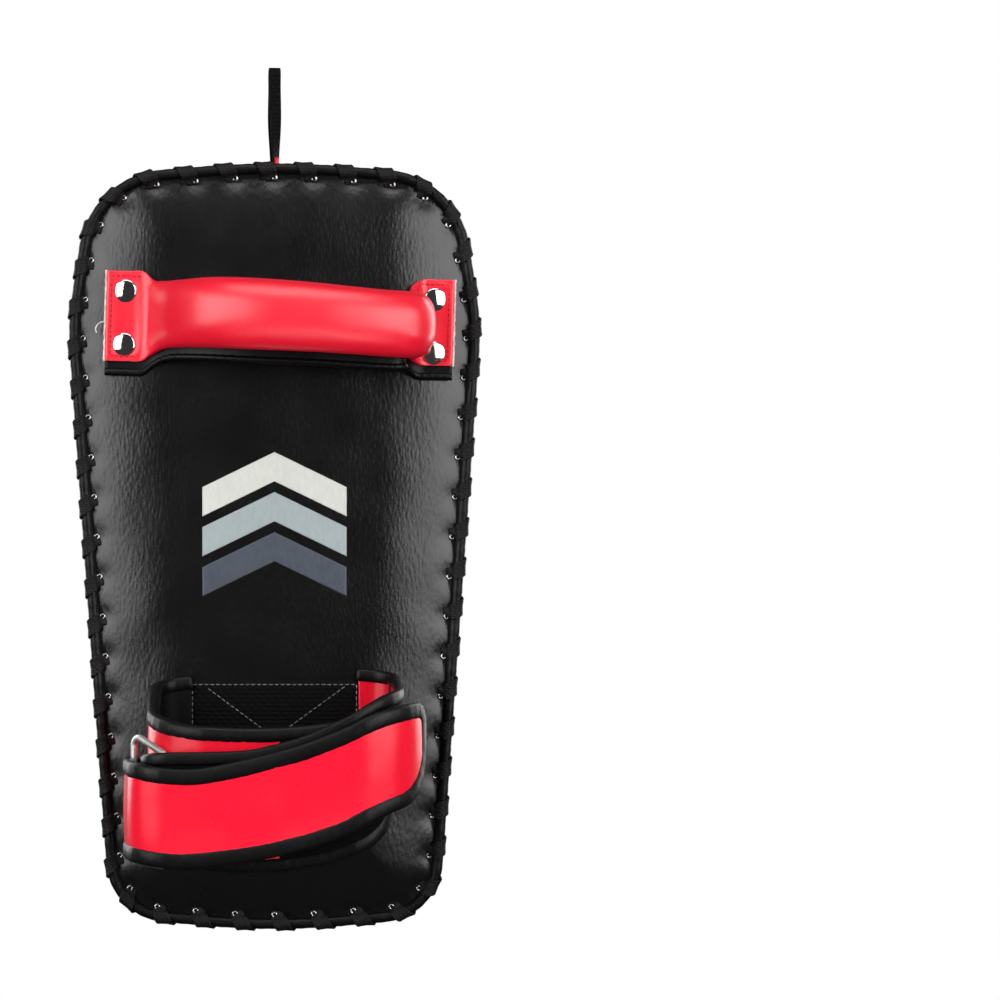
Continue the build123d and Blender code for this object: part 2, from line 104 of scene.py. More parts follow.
def make_object(name, verts, faces, merge=0.0):
    """Mesh object from points in millimetres."""
    mesh = bpy.data.meshes.new(name)
    mesh.from_pydata((np.asarray(verts) * MM).tolist(), [], faces)
    bm = bmesh.new()
    bm.from_mesh(mesh)
    if merge:
        bmesh.ops.remove_doubles(bm, verts=bm.verts, dist=merge * MM)
    bmesh.ops.recalc_face_normals(bm, faces=bm.faces)
    for face in bm.faces:
        face.smooth = True
    bm.to_mesh(mesh)
    bm.free()
    made = bpy.data.objects.new(name, mesh)
    bpy.context.collection.objects.link(made)
    return made


def finish_piece(piece, body, material, nodes=()):
    """Material, body and the CAD nodes that a piece stands for."""
    piece.data.materials.clear()
    piece.data.materials.append(material)
    if "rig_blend" not in piece:
        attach(piece, body)
    if nodes:
        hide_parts(*nodes)
    return piece


def add_piece(name, mesh, body, material, nodes=(), merge=0.0):
    """Piece of the model from its points and faces."""
    return finish_piece(make_object(name, *mesh, merge=merge), body, material, nodes)


def grid_faces(rows, columns, wrap_rows=False, wrap_columns=False, start=0):
    """Quads of a grid of points, stored row by row."""
    faces = []
    for i in range(rows if wrap_rows else rows - 1):
        for j in range(columns if wrap_columns else columns - 1):
            a = start + i * columns + j
            b = start + i * columns + (j + 1) % columns
            c = start + ((i + 1) % rows) * columns + (j + 1) % columns
            d = start + ((i + 1) % rows) * columns + j
            faces.append((a, b, c, d))
    return faces


def loft(sections, closed=False):
    """Points and faces of a closed tube through sections of equal length, with end caps."""
    sections = np.asarray(sections)
    rows, columns = sections.shape[:2]
    faces = grid_faces(rows, columns, wrap_rows=closed, wrap_columns=True)
    if not closed:
        faces.append(tuple(range(columns)))
        faces.append(tuple(range((rows - 1) * columns, rows * columns)))
    return sections.reshape(-1, 3), faces


def slab(front, back, lines, columns):
    """Points and faces of a closed slab between two grids of points."""
    rim = (
        list(range(columns)) + [columns * (k + 1) - 1 for k in range(1, lines)]
        + list(range(columns * lines - 2, columns * (lines - 1) - 1, -1))
        + [columns * k for k in range(lines - 2, 0, -1)]
    )
    step = lines * columns
    sides = [(a, b, b + step, a + step) for a, b in zip(rim, rim[1:] + rim[:1])]
    faces = grid_faces(lines, columns) + grid_faces(lines, columns, start=step) + sides
    return np.vstack([front, back]), faces


def joined(parts):
    """Several (points, faces) lists as one."""
    verts, faces, start = [], [], 0
    for points, quads in parts:
        verts.append(np.asarray(points))
        faces += [tuple(start + k for k in quad) for quad in quads]
        start += len(points)
    return np.concatenate(verts), faces


def resampled(points, count, closed=False):
    """Points spaced evenly along a line."""
    points = np.asarray(points, float)
    if closed:
        points = np.vstack([points, points[:1]])
    steps = np.linalg.norm(np.diff(points, axis=0), axis=1)
    along = np.concatenate([[0], np.cumsum(steps)])
    at = np.linspace(0, along[-1], count, endpoint=not closed)
    return np.stack([np.interp(at, along, points[:, k]) for k in range(points.shape[1])], axis=1)


def rounded(corners, radii, closed=True):
    """Dense points of a line whose corners are arcs."""
    corners = [np.asarray(c, float) for c in corners]
    count = len(corners)
    out = []
    for i, (corner, radius) in enumerate(zip(corners, radii)):
        if not closed and i in (0, count - 1):
            out.append(corner)
            continue
        back = corners[i - 1] - corner
        ahead = corners[(i + 1) % count] - corner
        back, ahead = back / np.linalg.norm(back), ahead / np.linalg.norm(ahead)
        half = np.arccos(np.clip(back @ ahead, -1, 1)) / 2
        reach = radius / tan(half)
        centre = corner + (back + ahead) / np.linalg.norm(back + ahead) * (radius / sin(half))
        first, last = corner + back * reach - centre, corner + ahead * reach - centre
        start = atan2(first[1], first[0])
        turn = atan2(first[0] * last[1] - first[1] * last[0], first @ last)
        for t in np.linspace(0, 1, 24):
            angle = start + turn * t
            out.append(centre + radius * np.array([cos(angle), sin(angle)]))
    return np.array(out)


def normals_2d(points, closed=True):
    """Unit normals to the right of travel along a line in a plane."""
    if closed:
        ways = np.roll(points, -1, axis=0) - np.roll(points, 1, axis=0)
    else:
        ways = np.gradient(points, axis=0)
    ways = ways / np.linalg.norm(ways, axis=1)[:, None]
    return np.stack([ways[:, 1], -ways[:, 0]], axis=1)


def smooth_step(value):
    value = np.clip(value, 0, 1)
    return value * value * (3 - 2 * value)


def bell(value, width):
    """1 at zero, falling away smoothly over a width."""
    return np.exp(-((value / width) ** 2))


def ripple(points, size, seed=0.0):
    """Soft noise, from -1 to 1, at points in millimetres."""
    return np.array([noise.noise(Vector(p) / size + Vector((seed, seed, seed))) for p in points])


def around(count):
    """Evenly spaced angles of a full turn."""
    return np.linspace(0, 2 * pi, count, endpoint=False)


def placed(flat, y):
    """Points from places in X and Z about the pad's centre, and their Y."""
    flat = np.asarray(flat, float)
    return np.stack([flat[:, 0], y * np.ones(len(flat)), flat[:, 1] + CENTRE_Z], axis=1)


def superellipse(half_wide, half_thick, power, count=28):
    """Closed section, wide along its first axis."""
    angles = around(count)
    c, s = np.cos(angles), np.sin(angles)
    wide = half_wide * np.sign(c) * np.abs(c) ** (2 / power)
    thick = half_thick * np.sign(s) * np.abs(s) ** (2 / power)
    return np.stack([wide, thick], axis=1)


def swept(path, wide_ways, thick_ways, section):
    """Sections placed along a path: the first axis along wide_ways and the second along thick_ways."""
    path, wide_ways, thick_ways = (np.asarray(a, float) for a in (path, wide_ways, thick_ways))
    section = np.asarray(section, float)
    if section.ndim == 2:
        section = np.broadcast_to(section, (len(path),) + section.shape)
    return (
        path[:, None, :]
        + section[:, :, :1] * wide_ways[:, None, :]
        + section[:, :, 1:] * thick_ways[:, None, :]
    )


def unit(vectors):
    vectors = np.asarray(vectors, float)
    return vectors / np.linalg.norm(vectors, axis=-1, keepdims=True)


# ---------------------------------------------------------------- materials

def new_material(name, color, roughness, metallic=0.0, **sockets):
    """Principled material, with constants set on the shader's own sockets."""
    material = bpy.data.materials.new(name)
    material.use_nodes = True
    shader = material.node_tree.nodes["Principled BSDF"]
    shader.inputs["Base Color"].default_value = (*color, 1)
    shader.inputs["Roughness"].default_value = roughness
    shader.inputs["Metallic"].default_value = metallic
    for socket, value in sockets.items():
        shader.inputs[socket.replace("_", " ")].default_value = value
    return material


class Nodes:
    """Short names for adding and linking a material's nodes."""

    def __init__(self, material):
        self.tree = material.node_tree
        self.shader = self.tree.nodes["Principled BSDF"]

    def add(self, kind, **values):
        node = self.tree.nodes.new(kind)
        for name, value in values.items():
            if name in node.inputs:
                node.inputs[name].default_value = value
            else:
                setattr(node, name, value)
        return node

    def link(self, source, target):
        self.tree.links.new(source, target)

    def position(self, scale):
        """Object coordinates, scaled along each axis."""
        coords = self.add("ShaderNodeTexCoord")
        mapping = self.add("ShaderNodeMapping")
        mapping.inputs["Scale"].default_value = scale
        self.link(coords.outputs["Object"], mapping.inputs["Vector"])
        return mapping.outputs["Vector"]

    def noise(self, vector, scale, detail=3.0, rough=0.5):
        node = self.add("ShaderNodeTexNoise", Scale=scale, Detail=detail, Roughness=rough)
        self.link(vector, node.inputs["Vector"])
        return node.outputs["Fac"]

    def cells(self, vector):
        node = self.add("ShaderNodeTexVoronoi", feature="SMOOTH_F1", Scale=1.0)
        self.link(vector, node.inputs["Vector"])
        return node.outputs["Distance"]

    def wave(self, vector, scale, direction, distortion):
        node = self.add("ShaderNodeTexWave", Scale=scale, Distortion=distortion)
        node.bands_direction = direction
        self.link(vector, node.inputs["Vector"])
        return node.outputs["Fac"]

    def math(self, operation, a, b):
        node = self.add("ShaderNodeMath", operation=operation)
        for socket, value in zip(node.inputs, (a, b)):
            if isinstance(value, (int, float)):
                socket.default_value = value
            else:
                self.link(value, socket)
        return node.outputs[0]

    def remap(self, value, low, high, to_low, to_high):
        node = self.add("ShaderNodeMapRange")
        ends = {"From Min": low, "From Max": high, "To Min": to_low, "To Max": to_high}
        for key, number in ends.items():
            node.inputs[key].default_value = number
        self.link(value, node.inputs["Value"])
        return node.outputs["Result"]

    def colors(self, value, low, high):
        """Base colour that varies between two colours."""
        node = self.add("ShaderNodeMix", data_type="RGBA")
        node.inputs["A"].default_value = (*low, 1)
        node.inputs["B"].default_value = (*high, 1)
        self.link(value, node.inputs["Factor"])
        self.link(node.outputs["Result"], self.shader.inputs["Base Color"])

    def rough(self, value):
        self.link(value, self.shader.inputs["Roughness"])

    def bump(self, height, strength, distance=0.001):
        node = self.add("ShaderNodeBump", Strength=strength, Distance=distance)
        self.link(height, node.inputs["Height"])
        self.link(node.outputs["Normal"], self.shader.inputs["Normal"])


def grain_leather(name, dark, light, roughness, grain=1.0, spread=0.12, depth=0.00035, **sockets):
    """Pebbled leather: cells drawn out along Z, fine creases, and a worn, uneven gloss."""
    material = new_material(name, light, roughness, **sockets)
    nodes = Nodes(material)
    pebble_space = nodes.position((760 * grain, 760 * grain, 330 * grain))
    warped = nodes.add("ShaderNodeTexNoise", Scale=0.6, Detail=2.0)
    nodes.link(pebble_space, warped.inputs["Vector"])
    mixed = nodes.add("ShaderNodeMix", data_type="VECTOR")
    mixed.inputs["Factor"].default_value = 0.25
    nodes.link(pebble_space, mixed.inputs["A"])
    nodes.link(warped.outputs["Color"], mixed.inputs["B"])
    cells = nodes.cells(mixed.outputs["Result"])
    space = nodes.position((1, 1, 1))
    fine = nodes.noise(space, 2600.0 * grain, 3.0)
    broad = nodes.noise(space, 38.0, 3.0)
    height = nodes.math("ADD", nodes.math("MULTIPLY", cells, -1.0), nodes.math("MULTIPLY", fine, 0.35))
    nodes.bump(height, 1.0, depth)
    nodes.colors(nodes.remap(nodes.math("ADD", cells, broad), 0.5, 1.4, 0.0, 1.0), light, dark)
    nodes.rough(nodes.remap(broad, 0.3, 0.7, roughness - spread / 2, roughness + spread / 2))
    return material


def woven(name, dark, light, roughness, pitch=900.0, depth=0.0003, **sockets):
    """Plain woven tape: crossed ribs, slightly uneven."""
    material = new_material(name, light, roughness, **sockets)
    nodes = Nodes(material)
    space = nodes.position((1, 1, 1))
    rib = nodes.wave(space, pitch / 6.28, "Z", 0.4)
    cross = nodes.wave(space, pitch / 6.28, "DIAGONAL", 0.4)
    weave = nodes.math("MULTIPLY", rib, cross)
    fuzz = nodes.noise(space, 1500.0, 3.0)
    nodes.bump(nodes.math("ADD", weave, nodes.math("MULTIPLY", fuzz, 0.4)), 0.9, depth)
    worn = nodes.math("ADD", nodes.math("MULTIPLY", weave, 0.6), nodes.math("MULTIPLY", fuzz, 0.4))
    nodes.colors(worn, dark, light)
    nodes.rough(nodes.remap(fuzz, 0.3, 0.7, roughness - 0.06, roughness + 0.08))
    return material


def scuffed(name, low, high, roughness, metallic=0.0, scale=60.0, depth=0.00004, **sockets):
    """Smooth surface with faint mottling, used for metal, prints and thread."""
    material = new_material(name, high, roughness, metallic, **sockets)
    nodes = Nodes(material)
    space = nodes.position((1, 1, 1))
    broad = nodes.noise(space, scale, 4.0)
    fine = nodes.noise(space, scale * 22, 2.0)
    nodes.colors(nodes.remap(broad, 0.35, 0.65, 0.0, 1.0), low, high)
    nodes.rough(nodes.remap(broad, 0.3, 0.7, roughness * 0.8, roughness * 1.25))
    nodes.bump(fine, 0.5, depth)
    return material


BLACK = grain_leather(
    "black_leather", (0.001, 0.001, 0.0013), (0.003, 0.003, 0.0034), 0.25,
    grain=1.25, spread=0.06, depth=0.00009, Specular_IOR_Level=0.75,
)
RED = grain_leather(
    "red_leather", (0.86, 0.005, 0.024), (0.96, 0.007, 0.034), 0.3,
    grain=1.7, spread=0.06, depth=0.00003, Specular_IOR_Level=0.4,
)
GLOSS_RED = grain_leather(
    "handle_red_leather", (0.86, 0.005, 0.024), (0.96, 0.007, 0.034), 0.36,
    grain=1.7, spread=0.05, depth=0.00003, Specular_IOR_Level=1.0,
)
GUSSET_RED = grain_leather(
    "gusset_leather", (0.72, 0.003, 0.013), (0.88, 0.005, 0.022), 0.38, grain=1.2, depth=0.00012,
)
SMOOTH_BLACK = grain_leather(
    "binding_leather", (0.001, 0.001, 0.0012), (0.003, 0.003, 0.0033), 0.4, grain=2.2, depth=0.0001,
    Specular_IOR_Level=0.28,
)
LACE = woven(
    "lace_tape", (0.002, 0.0015, 0.0015), (0.01, 0.008, 0.008), 0.6, pitch=1500.0, depth=0.0002,
    Specular_IOR_Level=0.3,
)
WEBBING = woven("webbing", (0.001, 0.001, 0.0012), (0.003, 0.003, 0.0035), 0.7, Specular_IOR_Level=0.12)
LINING = woven(
    "lining_cloth", (0.001, 0.001, 0.0013), (0.003, 0.003, 0.0035), 0.6, pitch=2200.0, depth=0.00012,
    Specular_IOR_Level=0.15,
)
PILE = woven(
    "loop_pile", (0.001, 0.001, 0.0013), (0.004, 0.004, 0.0045), 0.85, pitch=1700.0, depth=0.0004,
    Specular_IOR_Level=0.15,
)
CHROME = scuffed("chrome", (0.78, 0.78, 0.79), (0.9, 0.9, 0.91), 0.07, metallic=1.0)
NICKEL = scuffed("nickel_wire", (0.75, 0.74, 0.7), (0.9, 0.89, 0.85), 0.42, metallic=1.0)
STEEL = scuffed("eyelet_steel", (0.6, 0.6, 0.61), (0.85, 0.85, 0.86), 0.16, metallic=1.0)
THREAD = scuffed("grey_thread", (0.1, 0.1, 0.105), (0.24, 0.24, 0.25), 0.6, scale=900.0, depth=0.0002)
RED_THREAD = scuffed("red_thread", (0.35, 0.002, 0.012), (0.7, 0.01, 0.05), 0.5, scale=900.0, depth=0.0002)
DARK_THREAD = scuffed("dark_thread", (0.01, 0.01, 0.01), (0.05, 0.05, 0.05), 0.6, scale=900.0, depth=0.0002)
RAW_EDGE = scuffed("raw_edge", (0.5, 0.46, 0.4), (0.85, 0.82, 0.76), 0.8, scale=300.0, depth=0.0002)
FOAM = scuffed("foam", (0.5, 0.5, 0.46), (0.72, 0.72, 0.68), 0.9, scale=700.0, depth=0.0006)
BOARD = scuffed("fibre_board", (0.12, 0.09, 0.06), (0.25, 0.2, 0.15), 0.8, scale=500.0, depth=0.0002)


def print_material(name, low, high):
    """Printed ink: it lets the leather's grain through."""
    return grain_leather(name, low, high, 0.4, spread=0.06, depth=0.00012)


INKS = {
    "print_red": print_material("red_ink", (0.7, 0.003, 0.012), (0.82, 0.005, 0.022)),
    "print_cream": print_material("cream_ink", (0.57, 0.58, 0.54), (0.65, 0.66, 0.61)),
    "print_grey": print_material("grey_ink", (0.31, 0.36, 0.37), (0.36, 0.41, 0.42)),
    "print_slate": print_material("slate_ink", (0.055, 0.066, 0.086), (0.072, 0.085, 0.108)),
}


# ---------------------------------------------------------------- outlines and surfaces

def outline(shoulder, foot, half_height, count=OUTLINE_POINTS):
    """Closed outline in X and Z about the pad's centre, clockwise from the top seen from the back."""
    crown, inset, rise = 5.5, 11.0, 114.0
    end = half_height - crown
    apex = end + 7.4
    corners = [
        (0, apex), (shoulder - inset, end), (shoulder, rise), (foot, -end),
        (0, -apex), (-foot, -end), (-shoulder, rise), (inset - shoulder, end),
    ]
    points = rounded(corners, [440, 44, 140, 30, 400, 30, 140, 44])
    points = resampled(points, count * 4, closed=True)
    top = np.argmin(np.abs(points[:, 0]) + (points[:, 1] < 0) * 1e3)
    return resampled(np.roll(points, -top, axis=0), count, closed=True)


BEAD_LINE = outline(BEAD_SHOULDER, BEAD_FOOT, BEAD_HALF_HEIGHT)
BEAD_OUT = -normals_2d(BEAD_LINE)
BEAD_OUT *= np.sign((BEAD_OUT * BEAD_LINE).sum(axis=1))[:, None]
BODY_LINE = outline(SHOULDER_HALF, FOOT_HALF, HALF_HEIGHT)
BODY_OUT = -normals_2d(BODY_LINE)
BODY_OUT *= np.sign((BODY_OUT * BODY_LINE).sum(axis=1))[:, None]
WELT_LINE = BODY_LINE - 3.4 * BODY_OUT


def at_station(line, position):
    """Point of a closed line at a position counted in lace stations."""
    spot = (position / LACE_COUNT * OUTLINE_POINTS) % OUTLINE_POINTS
    low = int(spot) % OUTLINE_POINTS
    share = spot - int(spot)
    return line[low] * (1 - share) + line[(low + 1) % OUTLINE_POINTS] * share


EYELETS = np.array([
    at_station(BEAD_LINE, k) - EYELET_INSET * at_station(BEAD_OUT, k) for k in range(LACE_COUNT)
])


def edge_distance(points, line):
    """Shortest distance from points in X and Z to a closed line."""
    out = np.empty(len(points))
    for start in range(0, len(points), 2000):
        block = points[start:start + 2000]
        gaps = np.linalg.norm(block[:, None, :] - line[None, ::2, :], axis=2)
        out[start:start + 2000] = gaps.min(axis=1)
    return out


def back_surface(points):
    """Y of the back's leather: a soft crown that rolls down to a groove inside the bead. The edge
    is drawn in at each eyelet, and puffs out between them."""
    points = np.asarray(points, float)
    gaps = np.linalg.norm(points[:, None, :] - EYELETS[None, :, :], axis=2)
    distance = edge_distance(points, BEAD_LINE) - 2.6 * bell(gaps, 5.2).sum(axis=1)
    roll = 1 - (1 - np.clip((distance - 3.6) / ROLL_WIDTH, 0, 1)) ** 2.6
    crown = 2.2 * (1 - (np.abs(points[:, 0]) / SHOULDER_HALF) ** 2)
    return BACK_Y + 4.4 - 5.2 * roll - crown * smooth_step((distance - 6) / 37)


def front_surface(points):
    """Y of the strike face: a low crown that rolls down to the welt."""
    points = np.asarray(points, float)
    distance = edge_distance(points, WELT_LINE)
    roll = 1 - (1 - np.clip(distance / ROLL_WIDTH, 0, 1)) ** 2.3
    crown = 2.0 * (1 - (points[:, 0] / SHOULDER_HALF) ** 2) * (1 - (points[:, 1] / HALF_HEIGHT) ** 2)
    return FRONT_SEAM_Y + 0.4 + 3.4 * roll + crown * smooth_step(distance / ROLL_WIDTH)


def rippled(surface, amount, size, seed):
    """A surface function with soft noise added to it."""
    def y(points):
        plain = surface(points)
        return plain + amount * ripple(placed(points, plain), size, seed)
    return y


# Ends of the upright line that the panels' rings close in on
SPINE = (-108, 100)
BACK_LEATHER = rippled(back_surface, 0.35, 26.0, 0.0)
FACE_LEATHER = rippled(front_surface, 0.4, 30.0, 4.0)


def panel(line, out, inset, surface):
    """Points and faces of a panel: rings of points that close in from its outline on the spine."""
    rings = 46
    edge = line - inset * out
    spine = np.stack([np.zeros(len(edge)), np.clip(edge[:, 1], *SPINE)], axis=1)
    rows = []
    for ring in range(rings + 1):
        share = (ring / rings) ** 1.35
        rows.append(edge * (1 - share) + spine * share)
    flat = np.concatenate(rows)
    return placed(flat, surface(flat)), grid_faces(rings + 1, len(edge), wrap_columns=True)


# ---------------------------------------------------------------- pad cover

def make_back_panel():
    """Back leather."""
    mesh = panel(BEAD_LINE, BEAD_OUT, 1.2, BACK_LEATHER)
    piece = add_piece("back_leather", mesh, "pad", BLACK, ["back_panel"], 0.05)


def make_back_board():
    """Stiff board under the back's leather, inside its rolled edge."""
    halves = [half - BOARD_INSET for half in (BEAD_SHOULDER, BEAD_FOOT, BEAD_HALF_HEIGHT)]
    line = outline(*halves, 200)
    rims = [placed(line, y) for y in (BACK_Y + 2.1, BACK_Y + 3.8)]
    add_piece("backing_board", loft(rims), "pad", BOARD, ["back_board"])


def make_foam():
    """Foam block in its three layers, clear of the cover's rolled edges."""
    back = BEAD_LINE - FOAM_INSET * BEAD_OUT
    front = WELT_LINE - FOAM_INSET * BODY_OUT
    for node in ("base_foam", "core_foam", "strike_foam"):
        low, high = cad(node)
        rims = []
        for y in (low[1] + 0.3, high[1] - 0.3):
            share = (y - BEAD_Y) / (FRONT_SEAM_Y - BEAD_Y)
            rims.append(placed((back * (1 - share) + front * share)[::4], y))
        add_piece(node + "_block", loft(rims), "pad", FOAM, [node])


def make_strike_face():
    """Front leather with its wadding."""
    mesh = panel(WELT_LINE, BODY_OUT, 0.6, FACE_LEATHER)
    nodes = ["strike_cover", "strike_wadding"]
    piece = add_piece("strike_leather", mesh, "pad", BLACK, nodes, 0.05)


def gusset_point(position, depth_share, lift=0.0):
    """Point of the gusset's outside: position counted in stations, depth from back 0 to front 1."""
    back = at_station(BEAD_LINE, position) - 2.4 * at_station(BEAD_OUT, position)
    front = at_station(WELT_LINE, position) + 0.9 * at_station(BODY_OUT, position)
    way = at_station(BODY_OUT, position)
    bulge = 5.0 * sin(pi * min(max(depth_share, 0), 1)) ** 0.75
    flat = back * (1 - depth_share) + front * depth_share + way * (bulge + lift)
    y = (BEAD_Y + 0.6) * (1 - depth_share) + (FRONT_SEAM_Y - 0.2) * depth_share
    return np.array([flat[0], y, flat[1] + CENTRE_Z])


# Where a lace turn enters the gusset: share of the gusset's depth, and stations from its eyelet
LACE_HOLE_DEPTH = 0.13
LACE_LEAN = -0.42
LACE_PITCH = 21.0
LACE_HALF_WIDTH = 4.1
GUSSET_DEPTH = 92.0


def make_gusset():
    """Red band round the sides: dips at the lace's holes, a seam at the foot, a bed under the loop."""
    rows = 30
    count = OUTLINE_POINTS
    verts = []
    for row in range(rows + 1):
        share = row / rows
        hole_depth = (share - LACE_HOLE_DEPTH) * GUSSET_DEPTH
        for k in range(count):
            station = k * LACE_COUNT / count
            to_hole = abs((station - LACE_LEAN + 0.5) % 1.0 - 0.5) * LACE_PITCH
            dip = 1.3 * np.exp(-((to_hole / 4.0) ** 2) - (hole_depth / 6.0) ** 2)
            seam = abs((station - LACE_COUNT / 2 + 0.5) % LACE_COUNT - 0.5) * LACE_PITCH
            ridge = 1.1 * bell(seam, 1.3) * smooth_step(share * 6)
            to_loop = min(station, LACE_COUNT - station) * LACE_PITCH
            loop_bed = 2.2 * bell(to_loop, 9.0) * sin(pi * share)
            pull = 0.35 * np.cos(2 * pi * station * 2) * smooth_step((share - 0.86) / 0.14)
            verts.append(gusset_point(station, share, -dip + ridge + pull - loop_bed))
    verts = np.array(verts)
    middle = np.sin(np.clip((verts[:, 1] - BEAD_Y) / (FRONT_SEAM_Y - BEAD_Y), 0, 1) * pi)
    shift = 0.9 * ripple(verts, 34.0, 2.0) * middle
    verts[:, 0] += shift * np.sign(verts[:, 0])
    band = (verts, grid_faces(rows + 1, count, wrap_columns=True))
    piece = add_piece("gusset_leather", band, "pad", GUSSET_RED, ["side_gusset"])


def ring_tube(line, out, y, radii, count):
    """Closed cord that follows an outline, with its section in the plane of out and Y."""
    angles = around(count)
    section = np.stack([np.cos(angles), np.sin(angles)], axis=1)
    path = placed(line, y)
    out3 = np.stack([out[:, 0], np.zeros(len(out)), out[:, 1]], axis=1)
    depth = np.broadcast_to([0.0, 1.0, 0.0], out3.shape)
    sections = section[None, :, :] * np.reshape(radii * np.ones(len(line)), (-1, 1, 1))
    return loft(swept(path, out3, depth, sections), closed=True)


def make_edges():
    """Rolled bead, drawn in under each lace turn, and the welt in the front seam."""
    stations = np.arange(OUTLINE_POINTS) * LACE_COUNT / OUTLINE_POINTS
    gap = np.abs((stations - LACE_LEAN * 0.5 + 0.5) % 1.0 - 0.5) * LACE_PITCH
    squeeze = 1.0 - 0.13 * bell(gap, 4.4) + 0.03 * np.cos(2 * pi * stations * 3)
    bead = ring_tube(BEAD_LINE, BEAD_OUT, BEAD_Y, BEAD_RADIUS * squeeze, 18)
    add_piece("edge_bead_roll", bead, "pad", SMOOTH_BLACK, ["edge_bead"])
    welt = ring_tube(WELT_LINE, BODY_OUT, FRONT_SEAM_Y, 1.55, 12)
    add_piece("front_welt_piping", welt, "pad", SMOOTH_BLACK, ["front_welt"])


def lace_turn(index):
    """One turn of the flat lace: out of its eyelet, obliquely over the bead, into the gusset."""
    lift = BEAD_RADIUS * 0.93 + 0.5
    path, ups = [], []
    stops = np.linspace(0, 1, 19)
    for share in stops:
        station = index + LACE_LEAN * share
        out = at_station(BEAD_OUT, station)
        centre = at_station(BEAD_LINE, station)
        out3 = np.array([out[0], 0, out[1]])
        spot = np.array([centre[0], BEAD_Y, centre[1] + CENTRE_Z])
        if share < 0.22:
            step = share / 0.22
            inner = -EYELET_INSET * (1 - step) - lift * 0.93 * step
            depth = 0.9 * (1 - step) ** 1.5 - 1.4 * step
            path.append(spot + out3 * inner + np.array([0, depth, 0]))
            ups.append(-out3 * 0.35 * step + np.array([0, -1, 0]))
        elif share < 0.84:
            step = (share - 0.22) / 0.62
            angle = radians(158) * (1 - step) - radians(32) * step
            normal = out3 * cos(angle) + np.array([0, -1, 0]) * sin(angle)
            path.append(spot + normal * lift)
            ups.append(normal)
        else:
            step = (share - 0.84) / 0.16
            down = gusset_point(station, LACE_HOLE_DEPTH * (0.45 + 0.55 * step), 0.55 - 1.6 * step)
            path.append(down)
            ups.append(out3)
    path, ups = np.array(path), unit(ups)
    ways = unit(np.gradient(path, axis=0))
    wide = unit(np.cross(ways, ups))
    ups = unit(np.cross(wide, ways))
    widths = LACE_HALF_WIDTH - 0.9 * bell(stops, 0.09) - 0.9 * bell(1 - stops, 0.09)
    base = superellipse(1.0, 0.42, 5.0, 16)
    sections = np.stack([base * [width, 1.0] for width in widths])
    return loft(swept(path, wide, ups, sections))


def make_lacing():
    """Lace turns and the rings of their eyelets."""
    turns = joined([lace_turn(k) for k in range(LACE_COUNT)])
    add_piece("edge_lace_turns", turns, "pad", LACE, ["edge_lace"])
    rings = []
    angles = around(20)
    radial = np.stack([np.cos(angles), 0 * angles, np.sin(angles)], axis=1)
    depth = np.broadcast_to([0.0, 1.0, 0.0], radial.shape)
    for spot in EYELETS:
        y = float(back_surface([spot])[0])
        centre = np.array([spot[0], y - 0.5, spot[1] + CENTRE_Z])
        path = centre + np.stack([np.cos(angles) * 1.1, 0 * angles, np.sin(angles) * 1.1], axis=1)
        rings.append(loft(swept(path, radial, depth, superellipse(0.5, 0.45, 2.0, 10)), closed=True))
    add_piece("lacing_eyelet_rings", joined(rings), "pad", STEEL, ["lacing_eyelets"])


# ---------------------------------------------------------------- stitches and small parts

def stitch(start, end, up, radius=0.42):
    """One stitch: a small capsule that rises out of the surface between two holes."""
    start, end, up = (np.asarray(v, float) for v in (start, end, up))
    way = end - start
    side = unit(np.cross(way, up))
    rows = []
    for share in (0.0, 0.12, 0.35, 0.65, 0.88, 1.0):
        rise = radius * (4 * share * (1 - share)) ** 0.5
        size = radius * (0.35 + 0.65 * (4 * share * (1 - share)) ** 0.5)
        centre = start + way * share + unit(up) * (rise * 0.9 - radius * 0.4)
        ring = [
            centre + size * (cos(a) * side + sin(a) * unit(up))
            for a in around(7)
        ]
        rows.append(ring)
    return loft(rows)


def stitch_row(path, ups, pitch=3.2, fill=0.72, radius=0.42):
    """Stitches at an even pitch along a line of points."""
    path, ups = np.asarray(path, float), np.asarray(ups, float)
    length = np.linalg.norm(np.diff(path, axis=0), axis=1).sum()
    count = max(int(length / pitch), 1)
    points = resampled(path, count * 8 + 1)
    normals = resampled(np.broadcast_to(ups, path.shape) if ups.ndim == 1 else ups, count * 8 + 1)
    parts = []
    for k in range(count):
        first, last = k * 8, k * 8 + int(round(8 * fill))
        parts.append(stitch(points[first], points[last], normals[first], radius))
    return parts


def dome(centre, out, side, radius, height):
    """Rivet head: a low dome with a rounded rim."""
    centre, out, side = (np.asarray(v, float) for v in (centre, out, side))
    other = np.cross(out, side)
    profile = [(1.0, -0.9), (1.03, -0.3), (1.0, 0.1), (0.98, 0.22)]
    for share in np.linspace(0.94, 0.04, 12):
        profile.append((share, 0.3 + (height - 0.3) * (1 - share ** 2)))
    rows = []
    for share, rise in profile:
        ring = [
            centre + out * rise + radius * share * (cos(a) * side + sin(a) * other)
            for a in around(40)
        ]
        rows.append(ring)
    return loft(rows)


# ---------------------------------------------------------------- handle

HANDLE_CENTRE = np.array([2.7, BACK_Y, CENTRE_Z + 117.0])
HANDLE_TILT = radians(1.6)
# Half length over the tabs, where the flat tabs and the roll start, half height of a tab, how far
# the left one reaches down, and how far a tab's middle stands out of the back
TAB_END = 89.0
TAB_START = 66.0
ROLL_ROOT = 69.0
TAB_HALF = 22.0
LEFT_TAB_LOW = 24.2
TAB_OUT = 3.6
